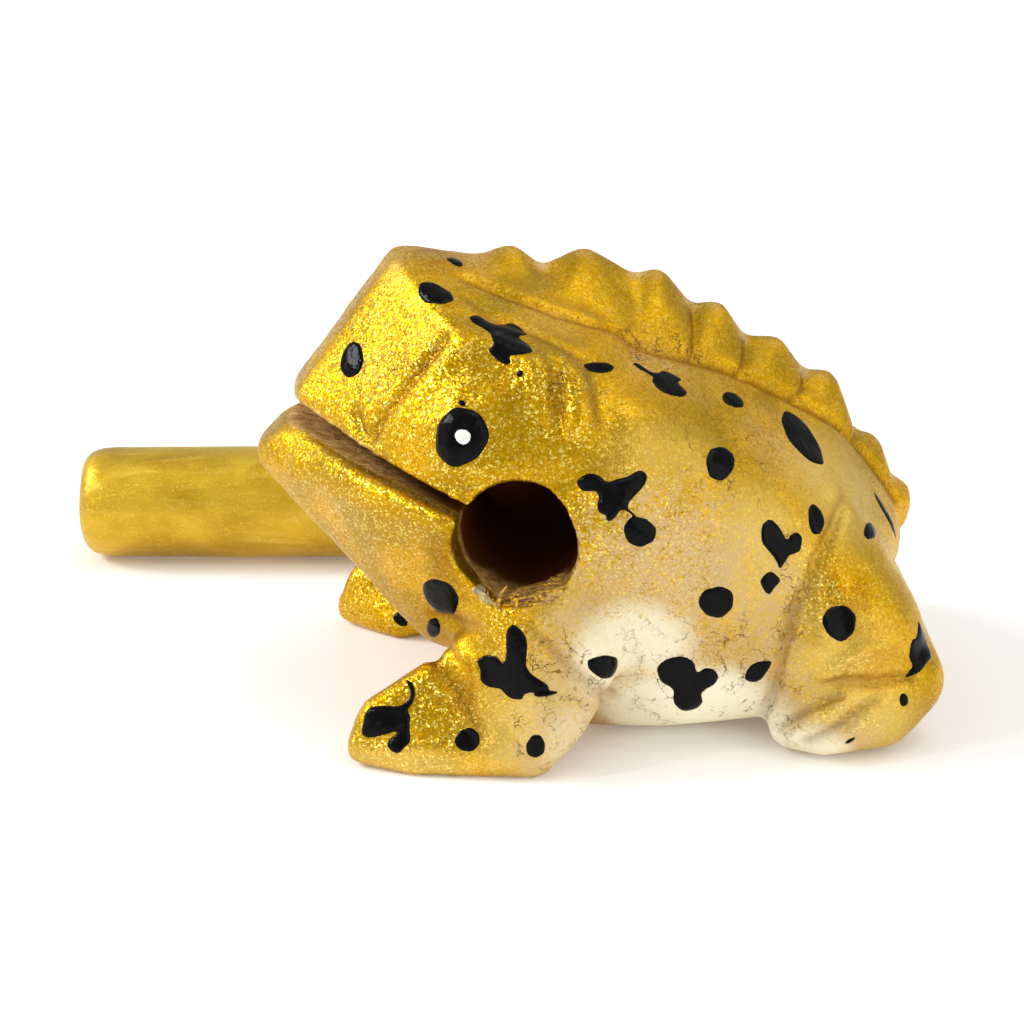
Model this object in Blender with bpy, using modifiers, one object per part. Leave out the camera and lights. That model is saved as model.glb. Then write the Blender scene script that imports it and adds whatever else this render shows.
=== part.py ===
"""Carved wooden croaking frog with its striker stick.

A small wooden percussion frog: one carved block with a toothed ridge down the
back, a side bore through each cheek, and a mouth slit that opens into the bores.
A loose turned stick lies beside it.  The frog faces -Y and its left side is +X.
The ground is z = 0, and the origin is under the middle of the belly.
"""
import math

import bmesh
import bpy
from mathutils import Matrix, Vector

MM = 0.001

# Side bores and the chamber they make (mm, degrees)
BORE_RADIUS = 6.65
BORE_Y = -11.15
BORE_Z = 26.0
BORE_SWEEP = 13.0
BORE_START = 34.0
BORE_LENGTH = 38.0
BORE_SIDES = 40
CHEEK_X = 26.0

# Mouth slit (mm): the upper lip's underside falls from the snout to the cheek
SLIT_HALF_WIDTH = 34.0
SLIT_REAR = (-9.0, 27.1, 28.2)
SLIT_FRONT = (-46.0, 37.6, 40.6)

# Surface of the carving
CARVE_GRID = 1.25
CARVE_SMOOTH = 5
BALL_DETAIL = 3
FACE_SHARE = 0.22

# Striker stick (mm): distance from the thick end, radius there
STICK_PROFILE = (
    (0.0, 5.2), (0.5, 6.1), (1.3, 6.8), (2.6, 7.25), (4.2, 7.4), (20.0, 7.5), (38.0, 7.5),
    (41.0, 7.1), (45.0, 5.4), (48.0, 4.7), (52.0, 4.5), (90.0, 4.5), (93.0, 4.1), (94.6, 3.2), (95.0, 2.2),
)
STICK_SIDES = 36
STICK_X = -50.0
STICK_Y = -62.3
STICK_TURN = 5.0

# Each mass of the carving is the skin round a set of balls: x, y, z, radius (mm).
# "both" masses are one skin across the middle; "pair" masses stand once on each side.
UPPER_HEAD = (
    (2.6, -32.7, 36.9, 1.3), (12.2, -25.4, 33.6, 1.8), (2.0, -21.4, 51.2, 1.9), (13.6, -16.0, 46.9, 1.1),
    (18.2, -16.0, 37.5, 3.6), (20.6, -17.2, 34.0, 2.0), (18.8, -7.0, 43.4, 1.7), (3.0, -8.0, 48.6, 2.4),
    (19.0, -2.0, 34.0, 4.5), (10.0, 0.0, 42.0, 4.0),
)
LOWER_JAW = (
    (1.4, -36.2, 30.0, 2.2), (3.2, -34.4, 32.8, 1.2), (12.8, -27.6, 32.4, 1.6), (15.0, -26.6, 30.0, 2.2),
    (22.6, -17.4, 29.0, 2.4), (4.6, -31.2, 27.8, 2.4), (8.6, -23.8, 21.0, 3.0), (15.2, -17.4, 20.0, 4.0),
    (10.8, -17.6, 13.2, 3.6), (20.5, -6.0, 26.0, 6.5), (17.0, -9.0, 14.0, 5.0),
)
TRUNK = (
    (18.5, 0.0, 27.0, 8.5), (17.0, 1.0, 36.0, 5.0), (16.5, 10.0, 20.0, 10.0), (13.0, 21.5, 19.0, 10.0),
    (6.0, 28.4, 19.6, 7.2), (7.0, -8.0, 42.5, 5.0), (6.5, 3.0, 40.5, 4.5), (11.0, 12.0, 33.0, 5.0),
    (5.0, 14.0, 36.0, 4.5), (3.5, 25.0, 29.5, 4.5), (11.5, 8.0, 5.7, 6.2), (9.0, 21.0, 6.2, 6.8),
    (12.0, -12.0, 14.0, 6.0), (10.5, -1.0, 5.8, 6.3), (16.8, 8.0, 9.4, 7.4), (15.4, 16.0, 9.0, 7.2),
)
UPPER_ARM = (
    (19.0, -9.0, 17.0, 7.0), (23.0, -4.0, 13.0, 5.0), (25.2, -7.0, 6.0, 3.8), (25.0, -9.2, 2.5, 3.0),
    (20.0, -13.0, 10.0, 4.0),
)
FRONT_FOOT = (
    (25.2, -9.2, 2.7, 3.2), (20.4, -17.8, 10.8, 2.0), (21.4, -27.6, 1.9, 1.8), (23.8, -22.0, 1.4, 1.9),
    (16.5, -21.5, 1.4, 1.9), (18.0, -12.0, 6.0, 5.0), (21.5, -26.2, 6.2, 1.6),
)
THIGH = (
    (13.5, 23.5, 24.0, 5.5), (18.8, 28.4, 13.0, 7.0), (20.0, 22.0, 12.0, 6.5), (13.0, 28.8, 17.0, 5.0),
)
HIND_FOOT = (
    (19.6, 32.8, 7.4, 5.2), (23.2, 24.0, 4.8, 4.6), (22.0, 20.4, 3.2, 2.9), (21.8, 30.0, 4.8, 4.6),
    (16.0, 24.0, 4.6, 4.8), (17.0, 31.8, 12.6, 4.0),
)
BOTH = (UPPER_HEAD, LOWER_JAW, TRUNK)
PAIR = (UPPER_ARM, FRONT_FOOT, THIGH, HIND_FOOT)

# Ridge teeth: y and z of each peak (mm)
TEETH = (
    (-9.2, 53.5), (-0.8, 53.0), (7.4, 50.4), (14.3, 46.4), (21.3, 42.2), (27.4, 37.9), (33.1, 30.2), (37.0, 24.2),
)
# Notches before, between and behind the teeth: y and z of the crest, then half width and z of the foot (mm)
NOTCHES = (
    (-14.4, 51.1, 5.5, 50.4), (-5.7, 50.9, 9.5, 46.8), (4.9, 49.8, 9.4, 43.4), (11.3, 46.1, 7.8, 41.5),
    (17.3, 42.1, 6.5, 38.8), (24.5, 38.0, 5.2, 34.8), (30.3, 30.9, 3.8, 29.4), (34.9, 25.1, 3.0, 23.6),
    (36.4, 20.4, 2.0, 20.0),
)
TOOTH_TIP = 1.3
TOOTH_EDGE = 0.8
TOOTH_FOOT = 0.7
TOOTH_CHEEK = 1.2


def clear_scene():
    """Remove whatever the start-up scene holds."""
    for item in list(bpy.data.objects):
        bpy.data.objects.remove(item)


def collection(name):
    """Make a collection and link it to the scene."""
    made = bpy.data.collections.new(name)
    bpy.context.scene.collection.children.link(made)
    return made


def material(name, colour, metallic, roughness):
    """Make one Principled material."""
    made = bpy.data.materials.new(name)
    made.use_nodes = True
    shader = made.node_tree.nodes["Principled BSDF"]
    shader.inputs["Base Color"].default_value = (*colour, 1.0)
    shader.inputs["Metallic"].default_value = metallic
    shader.inputs["Roughness"].default_value = roughness
    made.diffuse_color = (*colour, 1.0)
    return made


def to_object(name, mesh_data, home):
    """Turn a bmesh into a linked object."""
    bmesh.ops.recalc_face_normals(mesh_data, faces=mesh_data.faces)
    mesh = bpy.data.meshes.new(name)
    mesh_data.to_mesh(mesh)
    mesh_data.free()
    item = bpy.data.objects.new(name, mesh)
    home.objects.link(item)
    return item


def skin(mesh_data, balls):
    """Add the convex skin round a set of balls."""
    points = []
    for x, y, z, radius in balls:
        ball = bmesh.new()
        place = Matrix.Translation(Vector((x, y, z)) * MM)
        bmesh.ops.create_icosphere(ball, subdivisions=BALL_DETAIL, radius=radius * MM, matrix=place)
        points.extend(mesh_data.verts.new(vert.co) for vert in ball.verts)
        ball.free()
    hull = bmesh.ops.convex_hull(mesh_data, input=points, use_existing_faces=False)
    inner = {item for item in hull["geom_interior"] if isinstance(item, bmesh.types.BMVert)}
    bmesh.ops.delete(mesh_data, geom=list(inner), context="VERTS")


def mirrored(balls):
    """Return the balls reflected to the other side."""
    return tuple((-x, y, z, radius) for x, y, z, radius in balls)


def tooth(peak, ahead, behind):
    """Return the balls of one ridge tooth on the +X side, between two notches."""
    peak_y, peak_z = peak
    balls = [(0.0, peak_y, peak_z - TOOTH_TIP, TOOTH_TIP)]
    for (crest_y, crest_z, foot_x, foot_z), fall in ((ahead, 0.26), (behind, 0.30)):
        balls.append((0.0, crest_y, crest_z - TOOTH_EDGE, TOOTH_EDGE))
        balls.append((foot_x, crest_y, foot_z - TOOTH_FOOT, TOOTH_FOOT))
        cheek_y = peak_y + 0.35 * (crest_y - peak_y)
        cheek_z = peak_z - fall * (peak_z - foot_z) - 1.4 * TOOTH_CHEEK
        balls.append((0.36 * foot_x, cheek_y, cheek_z, TOOTH_CHEEK))
    return tuple(balls)


def bore_cutter(side, home):
    """Make the drill for one cheek: level, and sweeping rearward as it goes in."""
    slope = math.tan(math.radians(BORE_SWEEP))
    start = Vector((side * BORE_START, BORE_Y - (BORE_START - CHEEK_X) * slope, BORE_Z)) * MM
    run = Vector((-side, slope, 0.0)).normalized()
    drill = bmesh.new()
    turn = run.to_track_quat("Z", "Y").to_matrix().to_4x4()
    bmesh.ops.create_cone(
        drill, cap_ends=True, segments=BORE_SIDES, radius1=BORE_RADIUS * MM, radius2=BORE_RADIUS * MM,
        depth=BORE_LENGTH * MM, matrix=turn,
    )
    name = "cheek_drill_left" if side > 0 else "cheek_drill_right"
    item = to_object(name, drill, home)
    item.location = start + run * (0.5 * BORE_LENGTH * MM)
    return item


def slit_cutter(home):
    """Make the saw cut that parts the lips."""
    blade = bmesh.new()
    corners = [
        blade.verts.new(Vector((side * SLIT_HALF_WIDTH, end[0], height)) * MM)
        for side in (-1.0, 1.0)
        for end in (SLIT_REAR, SLIT_FRONT)
        for height in end[1:]
    ]
    bmesh.ops.convex_hull(blade, input=corners, use_existing_faces=False)
    return to_object("lip_saw", blade, home)


def ground_cutter(home):
    """Make the block that sands the feet and belly flat at z = 0."""
    block = bmesh.new()
    bmesh.ops.create_cube(block, size=1.0, matrix=Matrix.Diagonal((0.12, 0.12, 0.01, 1.0)))
    item = to_object("ground_sander", block, home)
    item.location = (0.0, 0.0, -0.005)
    return item


def cut(target, tool):
    """Subtract a cutter from the target."""
    tool.hide_render = True
    tool.display_type = "WIRE"
    step = target.modifiers.new(tool.name, "BOOLEAN")
    step.object = tool
    step.operation = "DIFFERENCE"
    step.solver = "EXACT"


def build_frog(home, cutters, paint):
    """Carve the frog body."""
    carving = bmesh.new()
    for balls in BOTH:
        skin(carving, balls + mirrored(balls))
    for balls in PAIR:
        skin(carving, balls)
        skin(carving, mirrored(balls))
    for peak, ahead, behind in zip(TEETH, NOTCHES, NOTCHES[1:]):
        balls = tooth(peak, ahead, behind)
        skin(carving, balls + mirrored(balls))
    frog = to_object("frog_body", carving, home)
    frog.data.materials.append(paint)
    blend = frog.modifiers.new("one_block", "REMESH")
    blend.mode = "VOXEL"
    blend.voxel_size = CARVE_GRID * MM
    soften = frog.modifiers.new("softened_cuts", "SMOOTH")
    soften.factor = 0.5
    soften.iterations = CARVE_SMOOTH
    thin = frog.modifiers.new("fewer_faces", "DECIMATE")
    thin.ratio = FACE_SHARE
    cut(frog, ground_cutter(cutters))
    cut(frog, slit_cutter(cutters))
    cut(frog, bore_cutter(1.0, cutters))
    cut(frog, bore_cutter(-1.0, cutters))
    return frog


def build_stick(home, paint):
    """Turn the striker stick: a thick blunt end and a thinner shank."""
    lathe = bmesh.new()
    ends = [lathe.verts.new((radius * MM, along * MM, 0.0)) for along, radius in STICK_PROFILE]
    first = lathe.verts.new((0.0, STICK_PROFILE[0][0] * MM, 0.0))
    last = lathe.verts.new((0.0, STICK_PROFILE[-1][0] * MM, 0.0))
    chain = [first, *ends, last]
    edges = [lathe.edges.new(pair) for pair in zip(chain, chain[1:])]
    bmesh.ops.spin(
        lathe, geom=chain + edges, axis=(0.0, 1.0, 0.0), cent=(0.0, 0.0, 0.0),
        angle=math.tau, steps=STICK_SIDES, use_merge=True,
    )
    bmesh.ops.remove_doubles(lathe, verts=lathe.verts, dist=0.00001)
    stick = to_object("striker_stick", lathe, home)
    stick.data.materials.append(paint)
    rest = max(radius for along, radius in STICK_PROFILE)
    stick.location = (STICK_X * MM, STICK_Y * MM, rest * MM)
    stick.rotation_euler = (0.0, 0.0, -math.radians(STICK_TURN))
    return stick


def main():
    """Build the set."""
    clear_scene()
    home = collection("croaking_frog")
    cutters = collection("cutters")
    body_paint = material("gold_flake_paint", (0.62, 0.38, 0.05), 0.7, 0.42)
    stick_paint = material("gold_stick_paint", (0.58, 0.36, 0.06), 0.7, 0.38)
    build_frog(home, cutters, body_paint)
    build_stick(home, stick_paint)


main()
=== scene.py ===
"""Painted wooden croaking frog with its striker stick.

The frog is carved from one block, coated in gold flake paint over a cream ground and
dotted with black enamel.  Its loose striker stick lies beside it.  The frog faces -Y,
its left side is +X, and the ground is z = 0.  Sizes are in millimetres until a mesh
is finished.
"""

import logging
import math
from dataclasses import dataclass, field
from enum import Enum
from typing import Any, Iterable, Sequence

import bmesh
import bpy
import numpy as np
from mathutils import Matrix, Vector, noise
from mathutils.bvhtree import BVHTree


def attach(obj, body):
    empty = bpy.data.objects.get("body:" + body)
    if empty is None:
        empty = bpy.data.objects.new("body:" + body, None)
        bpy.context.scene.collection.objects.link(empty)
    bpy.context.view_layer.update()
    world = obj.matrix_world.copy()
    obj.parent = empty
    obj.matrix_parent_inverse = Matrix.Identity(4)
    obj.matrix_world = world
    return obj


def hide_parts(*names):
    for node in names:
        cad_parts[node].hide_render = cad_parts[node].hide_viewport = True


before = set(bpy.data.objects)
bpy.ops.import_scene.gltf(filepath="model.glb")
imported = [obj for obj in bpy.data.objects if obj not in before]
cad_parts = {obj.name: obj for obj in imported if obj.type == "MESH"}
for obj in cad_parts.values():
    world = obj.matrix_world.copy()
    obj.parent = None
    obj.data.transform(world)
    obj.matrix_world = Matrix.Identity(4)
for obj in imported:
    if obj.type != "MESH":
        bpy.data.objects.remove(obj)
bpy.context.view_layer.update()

LOG = logging.getLogger("croaking_frog")
MM = 0.001
METRE = 1.0 / MM
NOWHERE = -99.0
FLAT_BELOW = 0.4
HALF_GREY = (0.5, 0.5, 0.5)
Ball = tuple[float, float, float, float]
Point = tuple[float, float, float]
Colour = tuple[float, float, float]


def linear(red: int, green: int, blue: int) -> Colour:
    """Turn an 8-bit display colour into linear light.

    Args:
        red: Red, 0 to 255.
        green: Green, 0 to 255.
        blue: Blue, 0 to 255.

    Returns:
        The linear colour.
    """
    def one(value: float) -> float:
        value /= 255.0
        return value / 12.92 if value <= 0.04045 else ((value + 0.055) / 1.055) ** 2.4
    return one(red), one(green), one(blue)


class Side(Enum):
    """The frog's own sides, as the sign of x."""

    LEFT = 1.0
    RIGHT = -1.0


class Zone(Enum):
    """Per-vertex fields that the body's finish reads: paint, painted shade and painted glints."""

    CREAM = "cream"
    TAN = "tan"
    WARM = "warm"
    BARE = "bare"
    # Painted shade: deep in the bores, at the back of the mouth slit and just outside the bore's front.
    DARK = "dark"
    CRAZE = "craze"
    # Thick glitter: lower roughness, more tilted flakes, and painted glints.
    SHEEN = "sheen"
    PALE = "pale"
    # Painted shade in the creases, with paint and dirt pooled there.
    CREASE = "crease"


# ----------------------------------------------------------------------------
# Shader building
# ----------------------------------------------------------------------------


class Wire:
    """A shader value that can be used in arithmetic."""

    def __init__(self, sheet: "NodeSheet", socket: bpy.types.NodeSocket) -> None:
        """Keep the sheet that the value lives on and its output socket."""
        self.sheet = sheet
        self.socket = socket

    def _join(self, operation: str, first: Any, second: Any, clamp: bool = False) -> "Wire":
        """Add one Math node.

        Args:
            operation: The Math operation.
            first: The first value or wire.
            second: The second value or wire.
            clamp: True to keep the result between 0 and 1.

        Returns:
            The result.
        """
        settings = {"operation": operation, "use_clamp": clamp}
        return self.sheet.add("ShaderNodeMath", settings, {0: first, 1: second})

    def __add__(self, other: Any) -> "Wire":
        """Add."""
        return self._join("ADD", self, other)

    __radd__ = __add__

    def __sub__(self, other: Any) -> "Wire":
        """Subtract."""
        return self._join("SUBTRACT", self, other)

    def __rsub__(self, other: Any) -> "Wire":
        """Subtract from a number."""
        return self._join("SUBTRACT", other, self)

    def __mul__(self, other: Any) -> "Wire":
        """Multiply."""
        return self._join("MULTIPLY", self, other)

    __rmul__ = __mul__

    def __truediv__(self, other: Any) -> "Wire":
        """Divide."""
        return self._join("DIVIDE", self, other)

    def also(self, output: str) -> "Wire":
        """Return another output of the same node."""
        return Wire(self.sheet, self.socket.node.outputs[output])

    def clamped(self) -> "Wire":
        """Return the value kept between 0 and 1."""
        return self._join("ADD", self, 0.0, clamp=True)

    def greatest(self, other: Any) -> "Wire":
        """Return the larger of two values."""
        return self._join("MAXIMUM", self, other)

    def step(self, low: float, high: float) -> "Wire":
        """Return a smooth step from 0 at low to 1 at high."""
        return self.sheet.add(
            "ShaderNodeMapRange", {"interpolation_type": "SMOOTHSTEP"},
            {"Value": self, "From Min": low, "From Max": high, "To Min": 0.0, "To Max": 1.0},
        )


class NodeSheet:
    """A material's node tree, with short ways to add nodes."""

    def __init__(self, name: str) -> None:
        """Make the material and keep its shader node."""
        self.material = bpy.data.materials.new(name)
        self.material.use_nodes = True
        self.tree = self.material.node_tree
        self.shader = self.tree.nodes["Principled BSDF"]
        self._place: Wire | None = None

    def add(self, kind: str, settings: dict[str, Any], sockets: dict[Any, Any],
            output: int | str = 0) -> Wire:
        """Add any node.

        Args:
            kind: The node's type name.
            settings: Node properties, set before the sockets.
            sockets: Values or wires by input name or number.
            output: The output wanted, by name or number.

        Returns:
            The chosen output.
        """
        node = self.tree.nodes.new(kind)
        for key, value in settings.items():
            setattr(node, key, value)
        for key, value in sockets.items():
            self.feed(node.inputs[key], value)
        return Wire(self, node.outputs[output])

    def feed(self, socket: bpy.types.NodeSocket, value: Any) -> None:
        """Link a wire to a socket, or set its value."""
        if isinstance(value, Wire):
            self.tree.links.new(value.socket, socket)
        elif socket.type == "RGBA" and len(value) == 3:
            socket.default_value = (*value, 1.0)
        else:
            socket.default_value = value

    def place(self) -> Wire:
        """Return the Object coordinates."""
        if self._place is None:
            self._place = self.add("ShaderNodeTexCoord", {}, {}, "Object")
        return self._place

    def field(self, zone: Zone) -> Wire:
        """Return one of the mesh's paint fields."""
        return self.add(
            "ShaderNodeAttribute", {"attribute_type": "GEOMETRY", "attribute_name": zone.value}, {}, "Fac",
        )

    def mottle(self, size: float, detail: float = 3.0, stretch: Point | None = None) -> Wire:
        """Return fractal noise.

        Args:
            size: The size of its features, in mm.
            detail: Octaves of detail.
            stretch: Optional scale of each axis.

        Returns:
            Values about 0.5.
        """
        where = self.place()
        if stretch is not None:
            where = self.add("ShaderNodeMapping", {}, {"Vector": where, "Scale": stretch})
        return self.add(
            "ShaderNodeTexNoise", {}, {"Vector": where, "Scale": 1.0 / (size * MM), "Detail": detail},
        )

    def vector(self, operation: str, first: Any, second: Any, output: int | str = 0) -> Wire:
        """Add one Vector Math node on two vectors."""
        return self.add("ShaderNodeVectorMath", {"operation": operation}, {0: first, 1: second}, output)

    def cells(self, size: float, feature: str = "F1", where: Wire | None = None) -> Wire:
        """Return the distance output of a cell pattern.

        Args:
            size: The size of its cells, in mm.
            feature: The Voronoi feature.
            where: The coordinates, or None for the Object coordinates.

        Returns:
            The distance; the cell's colour and position come from also().
        """
        sockets = {"Vector": where or self.place(), "Scale": 1.0 / (size * MM)}
        return self.add("ShaderNodeTexVoronoi", {"feature": feature}, sockets, "Distance")

    def warped(self, size: float, reach: float) -> Wire:
        """Return the Object coordinates pushed about by noise, with both lengths in mm."""
        push = self.vector("SUBTRACT", self.mottle(size, 3.0).also("Color"), HALF_GREY)
        far = self.vector("MULTIPLY", push, (reach * MM,) * 3)
        return self.vector("ADD", self.place(), far)

    def mix(self, share: Any, first: Any, second: Any) -> Wire:
        """Mix two colours by a share of the second."""
        return self.add("ShaderNodeMix", {"data_type": "RGBA"}, {0: share, 6: first, 7: second}, 2)

    def flake_slope(self, cell: Wire) -> Wire:
        """Return a height that tilts each cell of a pattern its own way, so that its flakes glint apart."""
        offset = self.vector("SUBTRACT", self.place(), cell.also("Position"))
        lean = self.vector("SUBTRACT", cell.also("Color"), HALF_GREY)
        return self.vector("DOT_PRODUCT", offset, lean, "Value")

    def split(self, colour: Wire) -> Wire:
        """Return a colour's red part; its green and blue parts come from also()."""
        return self.add("ShaderNodeSeparateColor", {}, {"Color": colour})

    def bump(self, height: Wire, depth: float, strength: float = 1.0,
             under: Wire | None = None) -> Wire:
        """Return a bumped normal.

        Args:
            height: The height pattern.
            depth: Its depth, in mm.
            strength: How strongly it shows.
            under: A normal to bump further.

        Returns:
            The normal.
        """
        sockets: dict[Any, Any] = {"Height": height, "Distance": depth * MM, "Strength": strength}
        if under is not None:
            sockets["Normal"] = under
        return self.add("ShaderNodeBump", {}, sockets)

    def fade_to_dull(self, share: Wire, colour: Colour) -> bpy.types.Material:
        """Fade the finished shader to a plain matt colour by a share, and return the material."""
        matt = self.add("ShaderNodeBsdfDiffuse", {}, {"Color": colour})
        shine = Wire(self, self.shader.outputs[0])
        mixed = self.add("ShaderNodeMixShader", {}, {0: share, 1: shine, 2: matt})
        self.feed(self.tree.nodes["Material Output"].inputs["Surface"], mixed)
        return self.material

    def finish(self, **sockets: Any) -> bpy.types.Material:
        """Set the shader's sockets, with underscores for spaces, and return the material."""
        for key, value in sockets.items():
            self.feed(self.shader.inputs[key.replace("_", " ")], value)
        return self.material


# ----------------------------------------------------------------------------
# Mesh tools
# ----------------------------------------------------------------------------


def link_mesh(name: str, shape: bmesh.types.BMesh) -> bpy.types.Object:
    """Turn a bmesh into a linked object with outward faces.

    Args:
        name: The object's name.
        shape: The bmesh, which is freed.

    Returns:
        The object.
    """
    bmesh.ops.recalc_face_normals(shape, faces=shape.faces)
    mesh = bpy.data.meshes.new(name)
    shape.to_mesh(mesh)
    shape.free()
    item = bpy.data.objects.new(name, mesh)
    bpy.context.scene.collection.objects.link(item)
    return item


def settle(item: bpy.types.Object) -> None:
    """Apply an object's modifiers to its mesh."""
    graph = bpy.context.evaluated_depsgraph_get()
    mesh = bpy.data.meshes.new_from_object(item.evaluated_get(graph))
    item.modifiers.clear()
    item.data = mesh


def remesh(item: bpy.types.Object, grid: float, smooth: int) -> None:
    """Rebuild an object as one even skin, then smooth it.

    Args:
        item: The object.
        grid: Voxel size, in mm.
        smooth: Smoothing passes.
    """
    even = item.modifiers.new("even_skin", "REMESH")
    even.mode = "VOXEL"
    even.voxel_size = grid * MM
    soft = item.modifiers.new("soft", "SMOOTH")
    soft.factor = 0.5
    soft.iterations = smooth
    settle(item)


def skin(shape: bmesh.types.BMesh, balls: Iterable[Ball], detail: int = 3) -> None:
    """Add the convex skin round a set of balls.

    Args:
        shape: The bmesh to add to.
        balls: Centre and radius of each ball, in mm.
        detail: Subdivisions of each ball.
    """
    points = []
    for x, y, z, radius in balls:
        ball = bmesh.new()
        spot = Matrix.Translation(Vector((x, y, z)) * MM)
        bmesh.ops.create_icosphere(ball, subdivisions=detail, radius=radius * MM, matrix=spot)
        points.extend(shape.verts.new(vert.co) for vert in ball.verts)
        ball.free()
    hull = bmesh.ops.convex_hull(shape, input=points, use_existing_faces=False)
    inner = {item for item in hull["geom_interior"] if isinstance(item, bmesh.types.BMVert)}
    bmesh.ops.delete(shape, geom=list(inner), context="VERTS")


def mirrored(balls: Iterable[Ball]) -> tuple[Ball, ...]:
    """Return the balls reflected to the other side."""
    return tuple((-x, y, z, radius) for x, y, z, radius in balls)


def coordinates(item: bpy.types.Object) -> np.ndarray:
    """Return an object's vertices in mm."""
    flat = np.empty(len(item.data.vertices) * 3)
    item.data.vertices.foreach_get("co", flat)
    return flat.reshape(-1, 3) / MM


def vertex_normals(item: bpy.types.Object) -> np.ndarray:
    """Return an object's vertex normals."""
    flat = np.empty(len(item.data.vertices) * 3)
    item.data.vertices.foreach_get("normal", flat)
    return flat.reshape(-1, 3)


def store_coordinates(item: bpy.types.Object, points: np.ndarray) -> None:
    """Write vertices given in mm."""
    item.data.vertices.foreach_set("co", (points * MM).ravel())
    item.data.update()


def store_field(item: bpy.types.Object, zone: Zone, values: np.ndarray) -> None:
    """Store one paint field on the mesh."""
    layer = item.data.attributes.new(zone.value, "FLOAT", "POINT")
    layer.data.foreach_set("value", np.clip(values, 0.0, 1.0).astype(np.float32))


def smoothstep(values: np.ndarray, low: float, high: float) -> np.ndarray:
    """Return a smooth step from 0 at low to 1 at high."""
    share = np.clip((values - low) / (high - low), 0.0, 1.0)
    return share * share * (3.0 - 2.0 * share)


def polyline_distance(points: np.ndarray, line: Sequence[Point]) -> tuple[np.ndarray, np.ndarray]:
    """Measure how far points are from a line of points.

    Args:
        points: The points, in mm.
        line: The line's corners, in mm.

    Returns:
        The distance, and how far along the line the nearest place is, 0 to 1.
    """
    corners = np.array(line, float)
    steps = np.linalg.norm(np.diff(corners, axis=0), axis=1)
    total = steps.sum()
    best = np.full(len(points), 1e9)
    along = np.zeros(len(points))
    done = 0.0
    for start, end, length in zip(corners, corners[1:], steps):
        span = end - start
        share = np.clip((points - start) @ span / (length * length), 0.0, 1.0)
        gap = np.linalg.norm(points - start - share[:, None] * span, axis=1)
        closer = gap < best
        best = np.where(closer, gap, best)
        along = np.where(closer, (done + share * length) / total, along)
        done += length
    return best, along


def rolling(points: np.ndarray, size: float, seed: float) -> np.ndarray:
    """Return smooth noise at points, about 0, from -1 to 1.

    Args:
        points: The points, in mm.
        size: Size of its features, in mm.
        seed: Shifts the pattern.

    Returns:
        One value for each point.
    """
    shift = Vector((seed, -seed, 0.5 * seed))
    return np.array([noise.noise(Vector(point) / size + shift) for point in points])


@dataclass(frozen=True)
class Stroke:
    """One pass of a carving tool: it presses in, or leaves a raised band.

    The path lies on the frog's left side and is repeated on the right.
    """

    path: tuple[Point, ...]
    width: float
    depth: float
    taper: float = 0.25

    def laid_on(self, surface: BVHTree, side: Side, spacing: float = 1.2) -> np.ndarray:
        """Return one side's path in short steps, each drawn onto the surface."""
        corners = [Vector((side.value * x, y, z)) for x, y, z in self.path]
        laid = []
        for first, second in zip(corners, corners[1:]):
            parts = max(1, round((second - first).length / spacing))
            laid.extend(first.lerp(second, part / parts) for part in range(parts))
        laid.append(corners[-1])
        return np.array([surface.find_nearest(place * MM)[0] / MM for place in laid])

    def press(self, points: np.ndarray, normals: np.ndarray, path: np.ndarray) -> np.ndarray:
        """Return how far each point moves.

        Args:
            points: The points, in mm.
            normals: Their normals.
            path: The path on the surface.

        Returns:
            The moves, in mm.
        """
        moves = np.zeros_like(points)
        low, high = path.min(axis=0) - self.width, path.max(axis=0) + self.width
        near = np.all((points > low) & (points < high), axis=1)
        gap, along = polyline_distance(points[near], path)
        fall = np.clip(1.0 - (gap / self.width) ** 2, 0.0, 1.0) ** 2
        ends = 1.0 - self.taper
        fall *= ends + self.taper * np.clip(np.minimum(along, 1.0 - along) / 0.15, 0.0, 1.0)
        moves[near] = normals[near] * (self.depth * fall)[:, None]
        return moves


# ----------------------------------------------------------------------------
# The carving
# ----------------------------------------------------------------------------


@dataclass(frozen=True)
class Notch:
    """One notch between ridge teeth: the crest's low point and the ridge's foot beside it."""

    y: float
    z: float
    foot_x: float
    foot_z: float


@dataclass(frozen=True)
class Tooth:
    """The peak of one ridge tooth, the radii of its balls and how plump its cheeks are."""

    y: float
    z: float
    blunt: float = 1.3
    edge: float = 0.8
    foot: float = 0.7
    cheek: float = 1.2
    plump: float = 0.72

    def balls(self, ahead: Notch, behind: Notch) -> tuple[Ball, ...]:
        """Return the balls of the tooth's left half between two notches."""
        return (
            (0.0, self.y, self.z - self.blunt, self.blunt),
            (0.0, ahead.y, ahead.z - self.edge, self.edge),
            (0.0, behind.y, behind.z - self.edge, self.edge),
            (ahead.foot_x, ahead.y, ahead.foot_z - self.foot, self.foot),
            (behind.foot_x, behind.y, behind.foot_z - self.foot, self.foot),
            (self.plump * 0.5 * ahead.foot_x, self.y - 0.35 * (self.y - ahead.y),
             self.z - 0.36 * self.plump * (self.z - ahead.foot_z) - 1.6, self.cheek),
            (self.plump * 0.5 * behind.foot_x, self.y + 0.35 * (behind.y - self.y),
             self.z - 0.42 * self.plump * (self.z - behind.foot_z) - 1.7, self.cheek),
        )


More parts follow.
